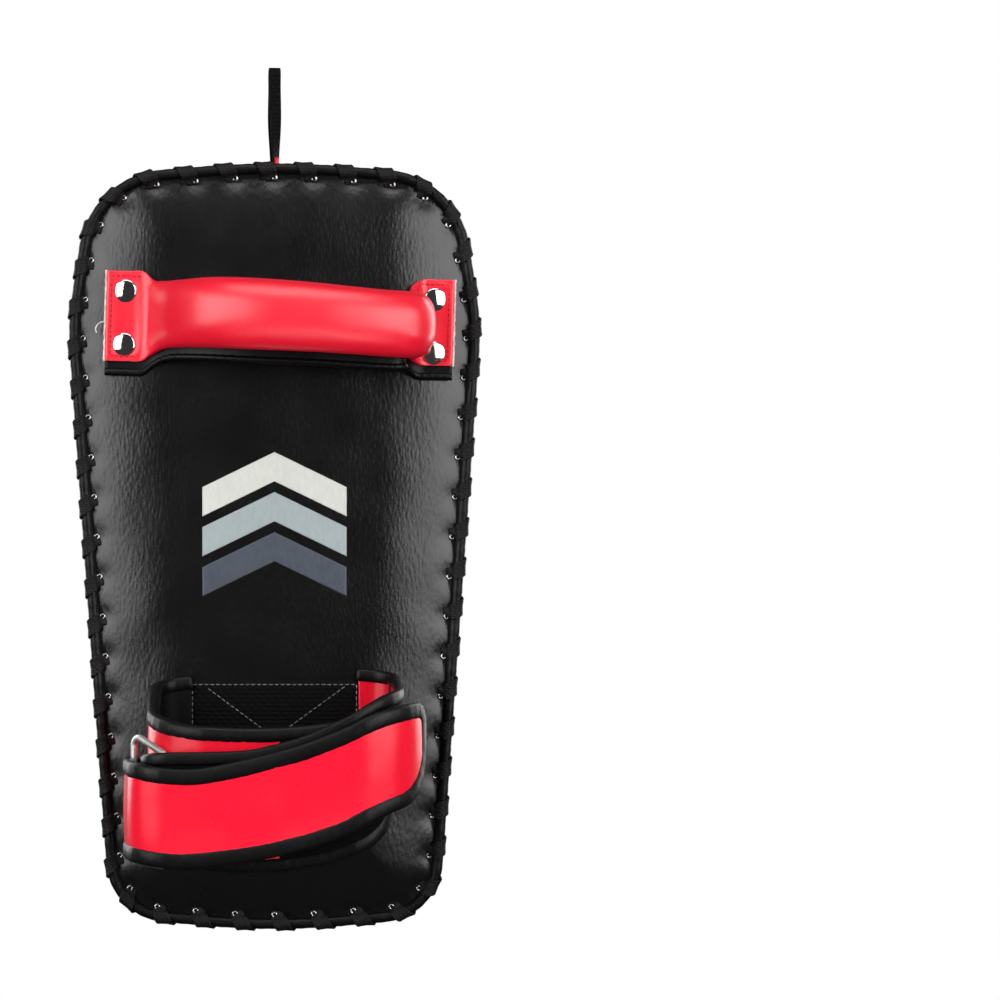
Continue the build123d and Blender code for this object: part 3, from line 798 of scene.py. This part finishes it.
# Station: along the handle, out of the back, drop, upper and lower half height, outer and inner
# half thickness, squareness of the section.
HANDLE_STATIONS = [
    (-89.0, 3.6, 0.0, 22.0, 24.2, 1.2, 1.2, 12.0),
    (-78.0, 3.6, 0.0, 22.0, 24.2, 1.2, 1.2, 12.0),
    (-69.8, 3.8, 0.0, 21.8, 23.8, 1.4, 1.2, 10.0),
    (-65.0, 5.4, 0.0, 17.6, 20.6, 2.6, 1.6, 6.0),
    (-59.0, 10.5, 0.1, 16.9, 17.8, 5.0, 2.6, 3.6),
    (-49.0, 20.5, 0.2, 17.2, 17.2, 8.8, 5.2, 2.8),
    (-34.0, 31.5, 0.4, 18.2, 17.4, 12.6, 9.5, 2.35),
    (-14.0, 38.5, 0.9, 18.3, 17.5, 14.0, 12.0, 2.25),
    (14.0, 40.5, 1.6, 17.6, 17.2, 14.0, 12.5, 2.25),
    (36.0, 39.0, 2.6, 17.0, 16.8, 13.8, 12.0, 2.25),
    (54.0, 34.6, 3.4, 16.9, 16.6, 13.6, 9.0, 2.3),
    (63.5, 29.5, 3.4, 17.0, 16.6, 13.4, 6.0, 2.3),
    (67.5, 23.0, 3.0, 16.8, 16.6, 11.8, 4.0, 2.3),
    (67.5, 14.5, 2.2, 17.0, 17.0, 8.0, 3.0, 2.6),
    (68.0, 7.6, 1.0, 19.6, 19.0, 3.4, 1.8, 5.0),
    (72.5, 3.8, 0.2, 21.9, 21.8, 1.4, 1.2, 10.0),
    (80.0, 3.6, 0.0, 22.0, 22.0, 1.2, 1.2, 12.0),
    (89.0, 3.6, 0.0, 22.0, 22.0, 1.2, 1.2, 12.0),
]


def curve_through(points, count):
    """Smooth line through points, evenly timed by their spacing."""
    points = np.asarray(points, float)
    spans = np.linalg.norm(np.diff(points[:, :3], axis=0), axis=1) ** 0.5
    knots = np.concatenate([[0], np.cumsum(spans)])
    slopes = np.gradient(points, knots, axis=0)
    at = np.linspace(0, knots[-1], count)
    cell = np.clip(np.searchsorted(knots, at, side="right") - 1, 0, len(knots) - 2)
    width = knots[cell + 1] - knots[cell]
    t = ((at - knots[cell]) / width)[:, None]
    width = width[:, None]
    return (
        (2 * t**3 - 3 * t**2 + 1) * points[cell]
        + (t**3 - 2 * t**2 + t) * width * slopes[cell]
        + (3 * t**2 - 2 * t**3) * points[cell + 1]
        + (t**3 - t**2) * width * slopes[cell + 1]
    )


def rivet_spots():
    """Rivet centres along and up the handle, as listed numbers."""
    return [(x, z) for x in (-79.5, 79.5) for z in (-15.7, 11.7)]


def on_handle(points):
    """From the handle's own axes (along, out, up) to the row's."""
    points = np.asarray(points, float)
    along, out, up = points[..., 0], points[..., 1], points[..., 2]
    x = along * cos(HANDLE_TILT) + up * sin(HANDLE_TILT)
    z = -along * sin(HANDLE_TILT) + up * cos(HANDLE_TILT)
    return np.stack([x, -out, z], axis=-1) + HANDLE_CENTRE


def handle_frame():
    """Stations along the handle, its middle line, and the way out of it."""
    stations = curve_through(HANDLE_STATIONS, 150)
    path = stations[:, :2]
    ways = unit(np.gradient(path, axis=0))
    outs = np.stack([-ways[:, 1], ways[:, 0]], axis=1)
    return stations, path, outs


def make_handle():
    """Padded roll and its two flat tabs."""
    stations, path, outs = handle_frame()
    angles = around(56)
    rows = []
    for (_, _, drop, upper, lower, outer, inner, power), spot, out in zip(stations, path, outs):
        c, s = np.cos(angles), np.sin(angles)
        rise = np.sign(s) * np.abs(s) ** (2 / power) * np.where(s > 0, upper, lower) - drop
        thick = np.sign(c) * np.abs(c) ** (2 / power) * np.where(c > 0, outer, inner)
        ring = np.stack([spot[0] + out[0] * thick, spot[1] + out[1] * thick, rise], axis=1)
        rows.append(ring)
    rows = np.array(rows)
    local = rows.reshape(-1, 3)
    # Leather pulled tight round each rivet, and strain folds that run from the rivets to the roll
    for x, z in rivet_spots():
        gap = np.hypot(local[:, 0] - x, local[:, 2] - z)
        press = 0.9 * bell(gap, 7.5) - 0.5 * bell(gap - 8.0, 1.6)
        local[:, 1] -= press * (local[:, 1] > TAB_OUT) * (np.abs(local[:, 0]) > TAB_START)
    side = np.sign(local[:, 0])
    reach = bell(np.abs(local[:, 0]) - ROLL_ROOT, 4.5)
    folds = np.sin(local[:, 2] * 0.55 + side) * bell(np.abs(local[:, 2]) - 11, 6)
    local[:, 1] += 0.5 * reach * folds * (local[:, 1] > TAB_OUT)
    world = on_handle(local)
    world[:, 1] += 0.5 * ripple(world, 19.0, 7.0) * (local[:, 1] > 10)
    mesh = loft(world.reshape(rows.shape))
    nodes = ["handle_cover", "handle_core"]
    cover = add_piece("handle_leather", mesh, "pad", GLOSS_RED, nodes)
    make_handle_lining(stations, path, outs)
    make_handle_trim()


def make_handle_lining(stations, path, outs):
    """Black strap under the roll, and the piping along its lower edge."""
    rows, edge = [], []
    for (_, _, drop, upper, lower, _, inner, power), spot, out in zip(stations, path, outs):
        tab = smooth_step((power - 4.0) / 6.0)
        low = lower + 5.6 + 1.2 * tab
        high = upper - 1.2 - 2.0 * (1 - tab)
        middle, half = (high - low) / 2 - drop, (high + low) / 2
        depth = -(inner + 1.0)
        section = superellipse(half, 1.05, 8.0, 24)
        at = spot + out * depth
        ring = [(at[0] + out[0] * t, at[1] + out[1] * t, middle + w) for w, t in section]
        rows.append(ring)
        edge.append((*(at + out * 0.4), middle - half + 1.2))
    rows = np.array(rows)
    rows[..., 1] = np.maximum(rows[..., 1], 0.9)
    strap = loft(on_handle(rows))
    add_piece("handle_lining_strap", strap, "pad", SMOOTH_BLACK, ["handle_lining"])
    edge = np.array(edge)
    edge[:, 1] = np.maximum(edge[:, 1], 2.4)
    edge3 = on_handle(edge)
    tangents = unit(np.gradient(edge3, axis=0))
    up = np.broadcast_to([0.0, 0.0, 1.0], tangents.shape)
    sides = unit(np.cross(tangents, up))
    pipe = np.arange(len(edge3))
    pucker = 1.0 + 0.09 * np.sin(pipe * 1.9)
    section = superellipse(1.0, 1.0, 2.0, 12)
    sections = section[None] * (1.9 * pucker)[:, None, None]
    piping = loft(swept(edge3, up, sides, sections))
    add_piece("handle_piping", piping, "pad", SMOOTH_BLACK)


RIVET_LEAN = radians(6.0)
RIVET_RADIUS = 5.9
RIVET_HEIGHT = 1.25


def make_handle_trim():
    """Rivet heads, the tabs' stitches, their cut edges and one loose thread."""
    heads, rows, edges = [], [], []
    side = unit(on_handle([1, 0, 0]) - on_handle([0, 0, 0]))
    for x, z in rivet_spots():
        lean = RIVET_LEAN * np.sign(x)
        out = np.array([sin(lean), -cos(lean), 0.0])
        across = unit(side - out * (side @ out))
        heads.append(dome(on_handle([x, 4.4, z]), out, across, RIVET_RADIUS, RIVET_HEIGHT))
    add_piece("handle_rivet_heads", joined(heads), "pad", CHROME, ["handle_rivets"])
    for end in (-1, 1):
        inset, out = 2.6, 4.85
        low = LEFT_TAB_LOW if end < 0 else TAB_HALF
        high, tip = TAB_HALF - inset, TAB_END - inset
        corners = [(71.5, high), (tip, high), (tip, inset - low), (73.5, inset - low)]
        line = np.array([(end * x, out, z) for x, z in corners])
        path = on_handle(resampled(line, 60))
        rows += stitch_row(path, np.array([0, -1.0, 0]), pitch=2.6, radius=0.36)
        cut = on_handle([(end * (TAB_END + 0.3), 2.3, z) for z in np.linspace(-low - 0.2, TAB_HALF + 0.2, 40)])
        cut[:, 0] += end * 0.35 * np.array([noise.noise(Vector((0, 0, z * 0.4))) for z in cut[:, 2]])
        across = np.broadcast_to([1.0, 0, 0], cut.shape)
        depth = np.broadcast_to([0, 1.0, 0], cut.shape)
        edges.append(loft(swept(cut, across, depth, superellipse(0.75, 2.0, 4.0, 12))))
    add_piece("handle_stitches", joined(rows), "pad", RED_THREAD)
    add_piece("handle_cut_edges", joined(edges), "pad", RAW_EDGE)
    loose = [
        (-89.5, 3.0, -4.0), (-91.5, 3.6, -4.6), (-93.4, 3.2, -6.0), (-94.2, 3.4, -8.2), (-93.6, 3.0, -10.0),
    ]
    path = on_handle(curve_through(loose, 24))
    ways = unit(np.gradient(path, axis=0))
    flat = unit(np.cross(ways, [0, 1.0, 0.01]))
    thread = loft(swept(path, flat, unit(np.cross(ways, flat)), superellipse(0.32, 0.32, 2, 8)))
    add_piece("handle_loose_thread", thread, "pad", RAW_EDGE)


# ---------------------------------------------------------------- forearm strap

PATCH_LOW, PATCH_HIGH = cad("strap_base_patch")
PATCH_LIFT = 1.9


def make_patch():
    """Sewn patch on the back, with a box and a cross of stitches."""
    half, top, bottom = PATCH_HIGH[0], PATCH_HIGH[2], PATCH_LOW[2]
    columns, lines = 40, 28
    xs = np.linspace(-half, half, columns)
    zs = np.linspace(bottom, top, lines)
    flat = np.array([(x, z - CENTRE_Z) for z in zs for x in xs])
    surface = back_surface(flat)
    front = placed(flat, surface - PATCH_LIFT)
    rim = np.minimum(half - np.abs(flat[:, 0]), np.minimum(top - front[:, 2], front[:, 2] - bottom))
    front[:, 1] += 0.9 * np.exp(-rim / 1.2)
    back = front.copy()
    back[:, 1] = surface + 0.6
    patch = slab(front, back, lines, columns)
    add_piece("strap_patch", patch, "pad", WEBBING, ["strap_base_patch"])

    def on_patch(points):
        points = resampled(points, 80)
        return placed(points, back_surface(points) - PATCH_LIFT)

    high, low, wide = top - CENTRE_Z - 2.6, bottom - CENTRE_Z + 3.0, half - 1.0
    seams = [
        [(-wide, high), (wide, high)], [(-wide, low), (wide, low)],
        [(-wide, high), (-wide, low)], [(wide, high), (wide, low)],
        [(-wide + 8, high - 2), (wide - 8, low + 2)], [(wide - 6, high - 1), (-wide + 6, low + 1)],
    ]
    rows = []
    for seam in seams:
        rows += stitch_row(on_patch(seam), np.array([0, -1.0, 0]), pitch=2.9, radius=0.33)
    add_piece("patch_stitches", joined(rows), "pad", THREAD)


def corner_cut(to_end, radius):
    """How far a rounded corner cuts into the edge, at a distance from the end."""
    if to_end >= radius:
        return 0.0
    return radius - sqrt(max(radius**2 - (radius - to_end) ** 2, 0.0))


# Middle of the ring's free bar in plan: the closing strap folds round it
FREE_BAR = (-69.3, -99.8)


class Strap:
    """A bound strap: its centre line in plan, and its top and bottom edges along it."""

    def __init__(self, corners, radii, tops, heights, outward, count=170, thin_at_ring=0.0):
        self.plan = resampled(rounded(corners, radii, closed=False), count)
        self.normals = normals_2d(self.plan, closed=False) * outward
        steps = np.linalg.norm(np.diff(self.plan, axis=0), axis=1)
        self.along = np.concatenate([[0], np.cumsum(steps)])
        self.length = self.along[-1]
        self.top = self.eased(tops) + CENTRE_Z
        self.height = self.eased(heights)
        to_ring = np.linalg.norm(self.plan - FREE_BAR, axis=1)
        self.thinning = 1.0 - thin_at_ring * (1.0 - smooth_step((to_ring - 8.0) / 14.0))

    def eased(self, marks):
        """Smooth values along the strap from marks at places in plan: (x, y, value)."""
        knots = []
        for x, y, value in marks:
            nearest = np.argmin(np.hypot(self.plan[:, 0] - x, self.plan[:, 1] - y))
            knots.append((self.along[nearest], value * 1e-3, 0))
        curve = curve_through(knots, 600)
        return np.interp(self.along, curve[:, 0], curve[:, 1] * 1e3)

    def height_at(self, along):
        return np.interp(along, self.along, self.height)

    def point(self, along, down, offset=0.0):
        """Point at a distance along the strap, a share down its width, offset out of its middle."""
        x, y = (np.interp(along, self.along, self.plan[:, k]) for k in (0, 1))
        nx, ny = (np.interp(along, self.along, self.normals[:, k]) for k in (0, 1))
        top = np.interp(along, self.along, self.top)
        return np.array([x + nx * offset, y + ny * offset, top - down * self.height_at(along)])

    def skin(self, outer, inner, inset, start, end=None, puff=0.0, rounds=(0.0, 0.0), rumple=0.4):
        """Closed sheet between the bindings, from an inner to an outer offset; its outer side swells."""
        end = self.length if end is None else end
        sections = []
        for along in np.linspace(start, end, max(int((end - start) / 1.1), 8)):
            height = self.height_at(along)
            high = (inset + corner_cut(end - along, rounds[0])) / height
            low = 1 - (inset + corner_cut(end - along, rounds[1])) / height
            downs = np.linspace(high, low, 19)
            ring = []
            for down in downs:
                swell = puff * sin(pi * min(max((down - high) / (low - high), 0), 1)) ** 0.6
                ring.append(self.point(along, down, outer + swell))
            ring += [self.point(along, down, inner) for down in downs[::-1]]
            sections.append(ring)
        sections = np.array(sections)
        flat = sections.reshape(-1, 3)
        flat[:, 1] += rumple * ripple(flat, 16.0, 5.0)
        return loft(flat.reshape(sections.shape))

    def binding(self, wide, thick, top_round, low_round):
        """Folded tape along the top edge, round the free end, and back along the bottom edge."""
        end, edge = self.length, wide / 2
        spots = [(along, edge) for along in np.linspace(0.0, end - top_round, 90)]
        reach = top_round - edge
        for angle in np.linspace(0, pi / 2, 14)[1:]:
            along = end - edge - reach + reach * sin(angle)
            spots.append((along, edge + reach - reach * cos(angle)))
        reach = low_round - edge
        for angle in np.linspace(pi / 2, pi, 14):
            along = end - edge - reach + reach * sin(angle)
            spots.append((along, self.height_at(along) - edge - reach - reach * cos(angle)))
        for along in np.linspace(end - low_round, 0.0, 90)[1:]:
            spots.append((along, self.height_at(along) - edge))
        return self.tape(spots, wide, thick)

    def edge_tape(self, wide, thick, down_edge):
        """Folded tape along one edge only; a negative distance is counted up from the bottom edge."""
        spots = []
        for along in np.linspace(0.0, self.length - 0.4, 110):
            spots.append((along, down_edge if down_edge > 0 else self.height_at(along) + down_edge))
        return self.tape(spots, wide, thick)

    def tape(self, spots, wide, thick):
        """Soft tape through places on the strap: (along it, down from its top edge)."""
        path, outs = [], []
        for along, down in spots:
            share = down / self.height_at(along)
            path.append(self.point(along, share))
            outs.append(self.point(along, share, 1.0) - path[-1])
        path, outs = np.array(path), unit(outs)
        across = unit(np.cross(unit(np.gradient(path, axis=0)), outs))
        section = superellipse(wide / 2, thick / 2, 3.2, 16)
        k = np.arange(len(path))
        pucker = 1 + 0.05 * np.sin(k * 2.1) + 0.03 * np.sin(k * 0.7)
        pucker *= np.interp([along for along, _ in spots], self.along, self.thinning)
        sections = section[None] * np.stack([np.ones(len(k)), pucker], axis=1)[:, None, :]
        return loft(swept(path, across, outs, sections))


# Each strap: corners in plan and their radii; then, at places in plan (x, y), the height of its top
# edge and how tall it is there
WING = Strap(
    [(-42.0, -53.2), (-60.2, -53.8), (-60.2, -120.0), (49.5, -120.8), (58.5, -104.5)],
    [0, 12, 30, 19, 0],
    [(-42, -53, -65.6), (-59, -65, -70.2), (-60, -90, -79.0), (-52, -112, -84.0), (-33, -120, -86.3),
     (0, -120, -86.8), (27, -120, -84.4), (50, -120, -80.0), (58.5, -104.5, -77.5)],
    [(-42, -53, 58), (-60, -90, 66), (-33, -120, 70), (0, -120, 70.5), (27, -120, 68.5),
     (42, -120, 66), (58.5, -104.5, 60)],
    outward=1,
)
CLOSING = Strap(
    [(42.0, -53.0), (61.4, -53.6), (61.6, -131.0), (-61.4, -131.9), (-64.2, -108.5), (-65.2, -100.0),
     (-65.6, -95.4), (-73.0, -96.2), (-72.5, -100.6)],
    [0, 13, 28, 12, 5, 4, 3.4, 3.4, 0],
    [(42, -53, -62.6), (56, -55, -63.8), (62, -75, -66.3), (62, -100, -68.3), (56, -124, -71.2),
     (47, -131, -75.2), (38, -131, -79.6), (28, -131, -84.6), (18, -131, -89.0), (8, -131, -92.3),
     (-2, -131, -94.9), (-12, -131, -97.0), (-37, -131, -98.0), (-58, -131, -98.5),
     (-65, -108, -103.0), (-73, -100, -103.6)],
    [(42, -53, 50), (62, -90, 54), (62, -115, 57), (47, -131, 58), (28, -131, 56.5), (8, -131, 54),
     (-12, -131, 52), (-37, -131, 51), (-62, -131, 50), (-73, -100, 50)],
    outward=-1, count=300, thin_at_ring=0.45,
)
TAIL = Strap(
    [(-72.5, -100.6), (-67.4, -136.2), (60.5, -136.4), (73.0, -106.6)],
    [0, 18, 34, 0],
    [(-71.2, -100.6, -103.6), (-69, -128, -103.0), (-57, -136, -104.4), (-47, -136, -105.3),
     (-37, -136, -105.1), (-27, -136, -103.5), (-7, -136, -99.3), (13, -136, -93.7), (33, -136, -86.0),
     (50, -134, -78.4), (63, -126, -75.4), (73, -106.6, -75.0)],
    [(-71.2, -100.6, 49), (-37, -136, 48.5), (0, -136, 50.5), (33, -136, 52.0), (60, -128, 50),
     (73, -106.6, 46.5)],
    outward=1, count=220,
)
HINGE = next(j for j in frame["joints"] if j["name"] == "strap_tail_peel")["pos_m"]
BEND_WAY = np.array([0.129, -0.992, 0.0])
BEND_LENGTH = 12
# Length of the wing's end that is drawn black instead of red, where the pocket between the straps looks dark
WING_BLACK_END = 59.0


def make_wing():
    """Padded part from the left root: red face, lining and binding, and an end drawn in black loop pile to
    match the dark pocket between the straps.
    """
    end = WING.length - 3.4
    rounds = (20.0, 20.0)
    red = WING.skin(2.4, 0.2, 3.6, 2.0, end - WING_BLACK_END, 0.8)
    face = add_piece("wing_red_face", red, "pad", RED, ["wing_face", "wing_foam"])
    # The wing's end is drawn in black loop pile, not red, so that the pocket between the straps looks as dark
    # as it does
    ending = WING.skin(2.6, 0.2, 3.6, end - WING_BLACK_END - 1.0, end, 0.8, rounds)
    add_piece("wing_black_end", ending, "pad", PILE)
    lining = WING.skin(-2.3, -0.6, 3.6, 0.5, end, -0.8, rounds)
    add_piece("wing_lining_cloth", lining, "pad", LINING, ["wing_lining"])
    edge = WING.binding(7.6, 6.8, 24.0, 24.0)
    add_piece("wing_edge_binding", edge, "pad", SMOOTH_BLACK, ["wing_binding"])


def make_closing_strap():
    """Strap from the right root: red inside, loop pile outside, bound edges and a seam."""
    face = CLOSING.skin(-1.1, -0.1, 3.0, 1.0, puff=-0.2, rumple=0.2)
    add_piece("closing_red_face", face, "pad", RED, ["strap_face"])
    pile = CLOSING.skin(0.9, 0.1, 3.0, 1.0, puff=0.1, rumple=0.2)
    add_piece("closing_loop_pile", pile, "pad", PILE, ["strap_pile"])
    tapes = joined([CLOSING.edge_tape(6.6, 4.6, 3.0), CLOSING.edge_tape(6.6, 4.2, -3.0)])
    add_piece("closing_edge_binding", tapes, "pad", SMOOTH_BLACK, ["strap_binding"])
    seam_along = 21.0
    path = np.array([CLOSING.point(seam_along, down, -1.9) for down in np.linspace(0.08, 0.92, 30)])
    out = unit(CLOSING.point(seam_along, 0.5, -2) - CLOSING.point(seam_along, 0.5, 0))
    outs = np.broadcast_to(out, path.shape)
    across = unit(np.cross(unit(np.gradient(path, axis=0)), outs))
    seam = loft(swept(path, across, outs, superellipse(0.8, 0.5, 2.5, 10)))
    add_piece("closing_seam", seam, "pad", DARK_THREAD)


def bend_tail(piece):
    """The tail bends where it leaves the fold."""
    end = np.array(HINGE) + BEND_WAY * BEND_LENGTH * MM
    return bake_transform(piece, "pad", "strap_tail", start=tuple(HINGE), end=tuple(end))


def make_tail():
    """Tail of the closing strap: red face, hook tape and binding."""
    end = TAIL.length - 4.2
    rounds = (7.0, 20.0)
    red = TAIL.skin(1.4, 0.1, 4.0, 0.0, end, 0.8, rounds, 0.5)
    face = bend_tail(make_object("tail_red_face", *red))
    finish_piece(face, "strap_tail", RED, ["tail_face"])
    tape = TAIL.skin(-0.9, -0.1, 4.0, 0.0, end, -0.1, rounds)
    hook = bend_tail(make_object("tail_hook_tape", *tape))
    finish_piece(hook, "strap_tail", PILE, ["tail_hook"])
    edge = bend_tail(make_object("tail_edge_binding", *TAIL.binding(8.2, 5.0, 11.0, 24.0)))
    finish_piece(edge, "strap_tail", SMOOTH_BLACK, ["tail_binding"])


# ---------------------------------------------------------------- hang loop and prints

WRAP_HEIGHT = 7.0


def make_hang_loop():
    """Ribbon loop that turns a quarter between its root and its eye, and the tab at its root."""
    low, high = cad("hang_loop")
    root, top = low[2] + 0.4, high[2]
    eye = 4.2
    half = (high[0] - low[0]) / 2
    path, wides = [], []
    heights = np.linspace(0, 1, 30)
    for leg, shares in ((-1, heights), (1, heights[::-1])):
        for share in shares:
            turn = radians(28) + radians(58) * smooth_step(share * 1.1)
            wide = np.array([sin(turn), cos(turn), 0])
            normal = np.array([cos(turn), -sin(turn), 0])
            spread = 0.62 + (eye - 0.62) * share**2.2
            middle = np.array([0, 0, root + (top - 0.55 - eye - root) * share])
            path.append(middle + normal * spread * leg)
            wides.append(wide)
            if leg == -1 and share == 1.0:
                for angle in np.linspace(pi, 0, 13)[1:-1]:
                    rise = np.array([0, 0, eye * sin(angle)])
                    path.append(middle + normal * eye * cos(angle) + rise)
                    wides.append(wide)
    path, wides = np.array(path), np.array(wides)
    ways = unit(np.gradient(path, axis=0))
    outs = unit(np.cross(ways, wides))
    ribbon = loft(swept(path, wides, outs, superellipse(half, 0.5, 6.0, 16)))
    add_piece("hang_ribbon", ribbon, "hang_loop", WEBBING, ["hang_loop"])

    rows = []
    for share in np.linspace(0, 1, 8):
        ring = []
        for angle in around(30):
            pleat = 1 + 0.1 * cos(angle * 6 + 2 * share)
            size = (1.0 - 0.35 * share) * pleat
            z = low[2] + 1.2 + WRAP_HEIGHT * share
            ring.append((3.0 * size * cos(angle), 2.6 * size * sin(angle), z))
        rows.append(ring)
    add_piece("loop_root_wrap", loft(rows), "hang_loop", GUSSET_RED)

    rows = []
    base_z = cad("loop_anchor")[0][2] - 1.0
    for share in np.linspace(0, 1, 9):
        ring = []
        for angle in around(36):
            pleat = 1 + 0.12 * cos(angle * 7) * (1 - share * 0.4)
            size = (6.5 * (1 - share) ** 1.6 + 1.9) * pleat
            ring.append((size * cos(angle) * 0.8, size * sin(angle), base_z + 4.6 * share))
        rows.append(ring)
    add_piece("loop_root_gather", loft(rows), "pad", GUSSET_RED, ["loop_anchor"])


def chevron_mesh(size, z, surface, way):
    """Thin printed chevron that points up and follows the leather; size is (width, band, rise)."""
    width, band, rise = size
    half, low = width / 2, z - (band + rise) / 2
    columns, lines = 61, 17
    xs = np.linspace(-half, half, columns)
    rows = []
    for share in np.linspace(0, 1, lines):
        rows.append(np.stack([xs, low + band * share + rise * (1 - np.abs(xs) / half)], axis=1))
    flat = np.concatenate(rows)
    y = surface(flat)
    return slab(placed(flat, y + way * 0.12), placed(flat, y - way * 0.3), lines, columns)


def make_prints():
    """Plain chevrons: three red ones on the strike face, and a row of three colours on each side."""
    large, big, small = (77.0, 34.0, 24.0), (74.0, 15.0, 18.0), (34.0, 6.9, 8.3)
    marks = [chevron_mesh(large, 41.0 + step * 77.5, FACE_LEATHER, 1.0) for step in (-1, 0, 1)]
    add_piece("face_red_marks", joined(marks), "pad", INKS["print_red"], ["print_red"])
    for node, step in (("print_cream", 1), ("print_grey", 0), ("print_slate", -1)):
        marks = [
            chevron_mesh(big, 11.5 + step * 20.5, BACK_LEATHER, -1.0),
            chevron_mesh(small, -131.0 + step * 9.4, FACE_LEATHER, 1.0),
        ]
        add_piece(node + "_marks", joined(marks), "pad", INKS[node], [node])


# ---------------------------------------------------------------- carried-over CAD nodes

def paint_cad():
    """Procedural materials for the CAD nodes that stay."""
    kept = {"rivet_washers": STEEL, "ring_keeper": WEBBING, "strap_ring": NICKEL}
    for node, material in kept.items():
        piece = frame["nodes"][node]
        if not piece.material_slots:
            piece.data.materials.append(material)
        for place in piece.material_slots:
            place.material = material
    for polygon in frame["nodes"]["strap_ring"].data.polygons:
        polygon.use_smooth = True


# ---------------------------------------------------------------- camera, light and stage

CAMERA_DISTANCE = 1.35
FRAME_WIDTH = 0.5136
SHIFT_RIGHT = 0.2255
CAMERA_LIFT = 0.0239
FLOOR_Z = -1.25
FLOOR_REACH = 2400
FLOOR_GLOW = 0.8
WORLD_LIGHT = 0.04
# Softboxes: place and size in metres, and power in watts
LIGHTS = {
    "left_panel": ((-1.5, -1.3, 0.25), (1.9, 1.7), 30),
    "right_panel": ((1.42, -1.42, 0.25), (1.9, 1.7), 30),
    "top_panel": ((0.0, -0.7, 1.3), (1.4, 0.9), 10),
    "low_fill": ((0.0, -1.3, -1.3), (1.6, 0.8), 24),
    "rear_left": ((-1.4, 1.4, 0.2), (1.2, 1.6), 26),
    "rear_right": ((1.4, 1.4, 0.2), (1.2, 1.6), 26),
}


def make_camera():
    camera = bpy.data.objects.new("camera", bpy.data.cameras.new("camera"))
    bpy.context.collection.objects.link(camera)
    camera.location = (0, BACK_Y * MM - CAMERA_DISTANCE, CENTRE_Z * MM + CAMERA_LIFT)
    camera.rotation_euler = (radians(90), 0, 0)
    camera.data.sensor_width = 36
    camera.data.lens = 36 * CAMERA_DISTANCE / FRAME_WIDTH
    camera.data.shift_x = SHIFT_RIGHT
    camera.data.clip_start, camera.data.clip_end = 0.05, 60
    bpy.context.scene.camera = camera


def area_light(name, place, target, size, power):
    lamp = bpy.data.lights.new(name, "AREA")
    lamp.shape = "RECTANGLE"
    lamp.size, lamp.size_y = size
    lamp.energy = power
    holder = bpy.data.objects.new(name, lamp)
    bpy.context.collection.objects.link(holder)
    holder.location = place
    aim = Vector(target) - Vector(place)
    holder.rotation_euler = aim.to_track_quat("-Z", "Y").to_euler()
    return holder


def make_studio():
    """Softboxes, a pale floor that lights nothing, and a white world that only the camera sees."""
    middle = (0, 0, CENTRE_Z * MM)
    for name, (place, size, power) in LIGHTS.items():
        panel_light = area_light(name, place, middle, size, power)
        panel_light.visible_glossy = name != "low_fill"
    far = FLOOR_REACH
    corners = [(-far, -far, 0), (far, -far, 0), (far, far, 0), (-far, far, 0)]
    floor = make_object("floor", corners, [(0, 1, 2, 3)])
    floor.location.z = FLOOR_Z
    paint = new_material("floor_paint", (0.5, 0.5, 0.5), 0.9, Emission_Strength=1.0, Specular_IOR_Level=0.0)
    glow = paint.node_tree.nodes["Principled BSDF"].inputs["Emission Color"]
    glow.default_value = (FLOOR_GLOW, FLOOR_GLOW, FLOOR_GLOW, 1)
    floor.data.materials.append(paint)
    floor.visible_diffuse = False
    floor.visible_glossy = False
    world = bpy.data.worlds.new("studio")
    bpy.context.scene.world = world
    world.use_nodes = True
    tree = world.node_tree
    tree.nodes.clear()
    output = tree.nodes.new("ShaderNodeOutputWorld")
    sees = tree.nodes.new("ShaderNodeLightPath")
    mix = tree.nodes.new("ShaderNodeMixShader")
    shown = tree.nodes.new("ShaderNodeBackground")
    lit = tree.nodes.new("ShaderNodeBackground")
    shown.inputs["Color"].default_value = (1, 1, 1, 1)
    lit.inputs["Color"].default_value = (1, 1, 1, 1)
    lit.inputs["Strength"].default_value = WORLD_LIGHT
    tree.links.new(sees.outputs["Is Camera Ray"], mix.inputs["Fac"])
    tree.links.new(lit.outputs[0], mix.inputs[1])
    tree.links.new(shown.outputs[0], mix.inputs[2])
    tree.links.new(mix.outputs[0], output.inputs["Surface"])
    bpy.context.scene.view_settings.view_transform = "Standard"


make_camera()
make_studio()
make_back_panel()
make_back_board()
make_foam()
make_strike_face()
make_gusset()
make_edges()
make_lacing()
make_handle()
make_patch()
make_wing()
make_closing_strap()
make_tail()
make_hang_loop()
make_prints()
paint_cad()
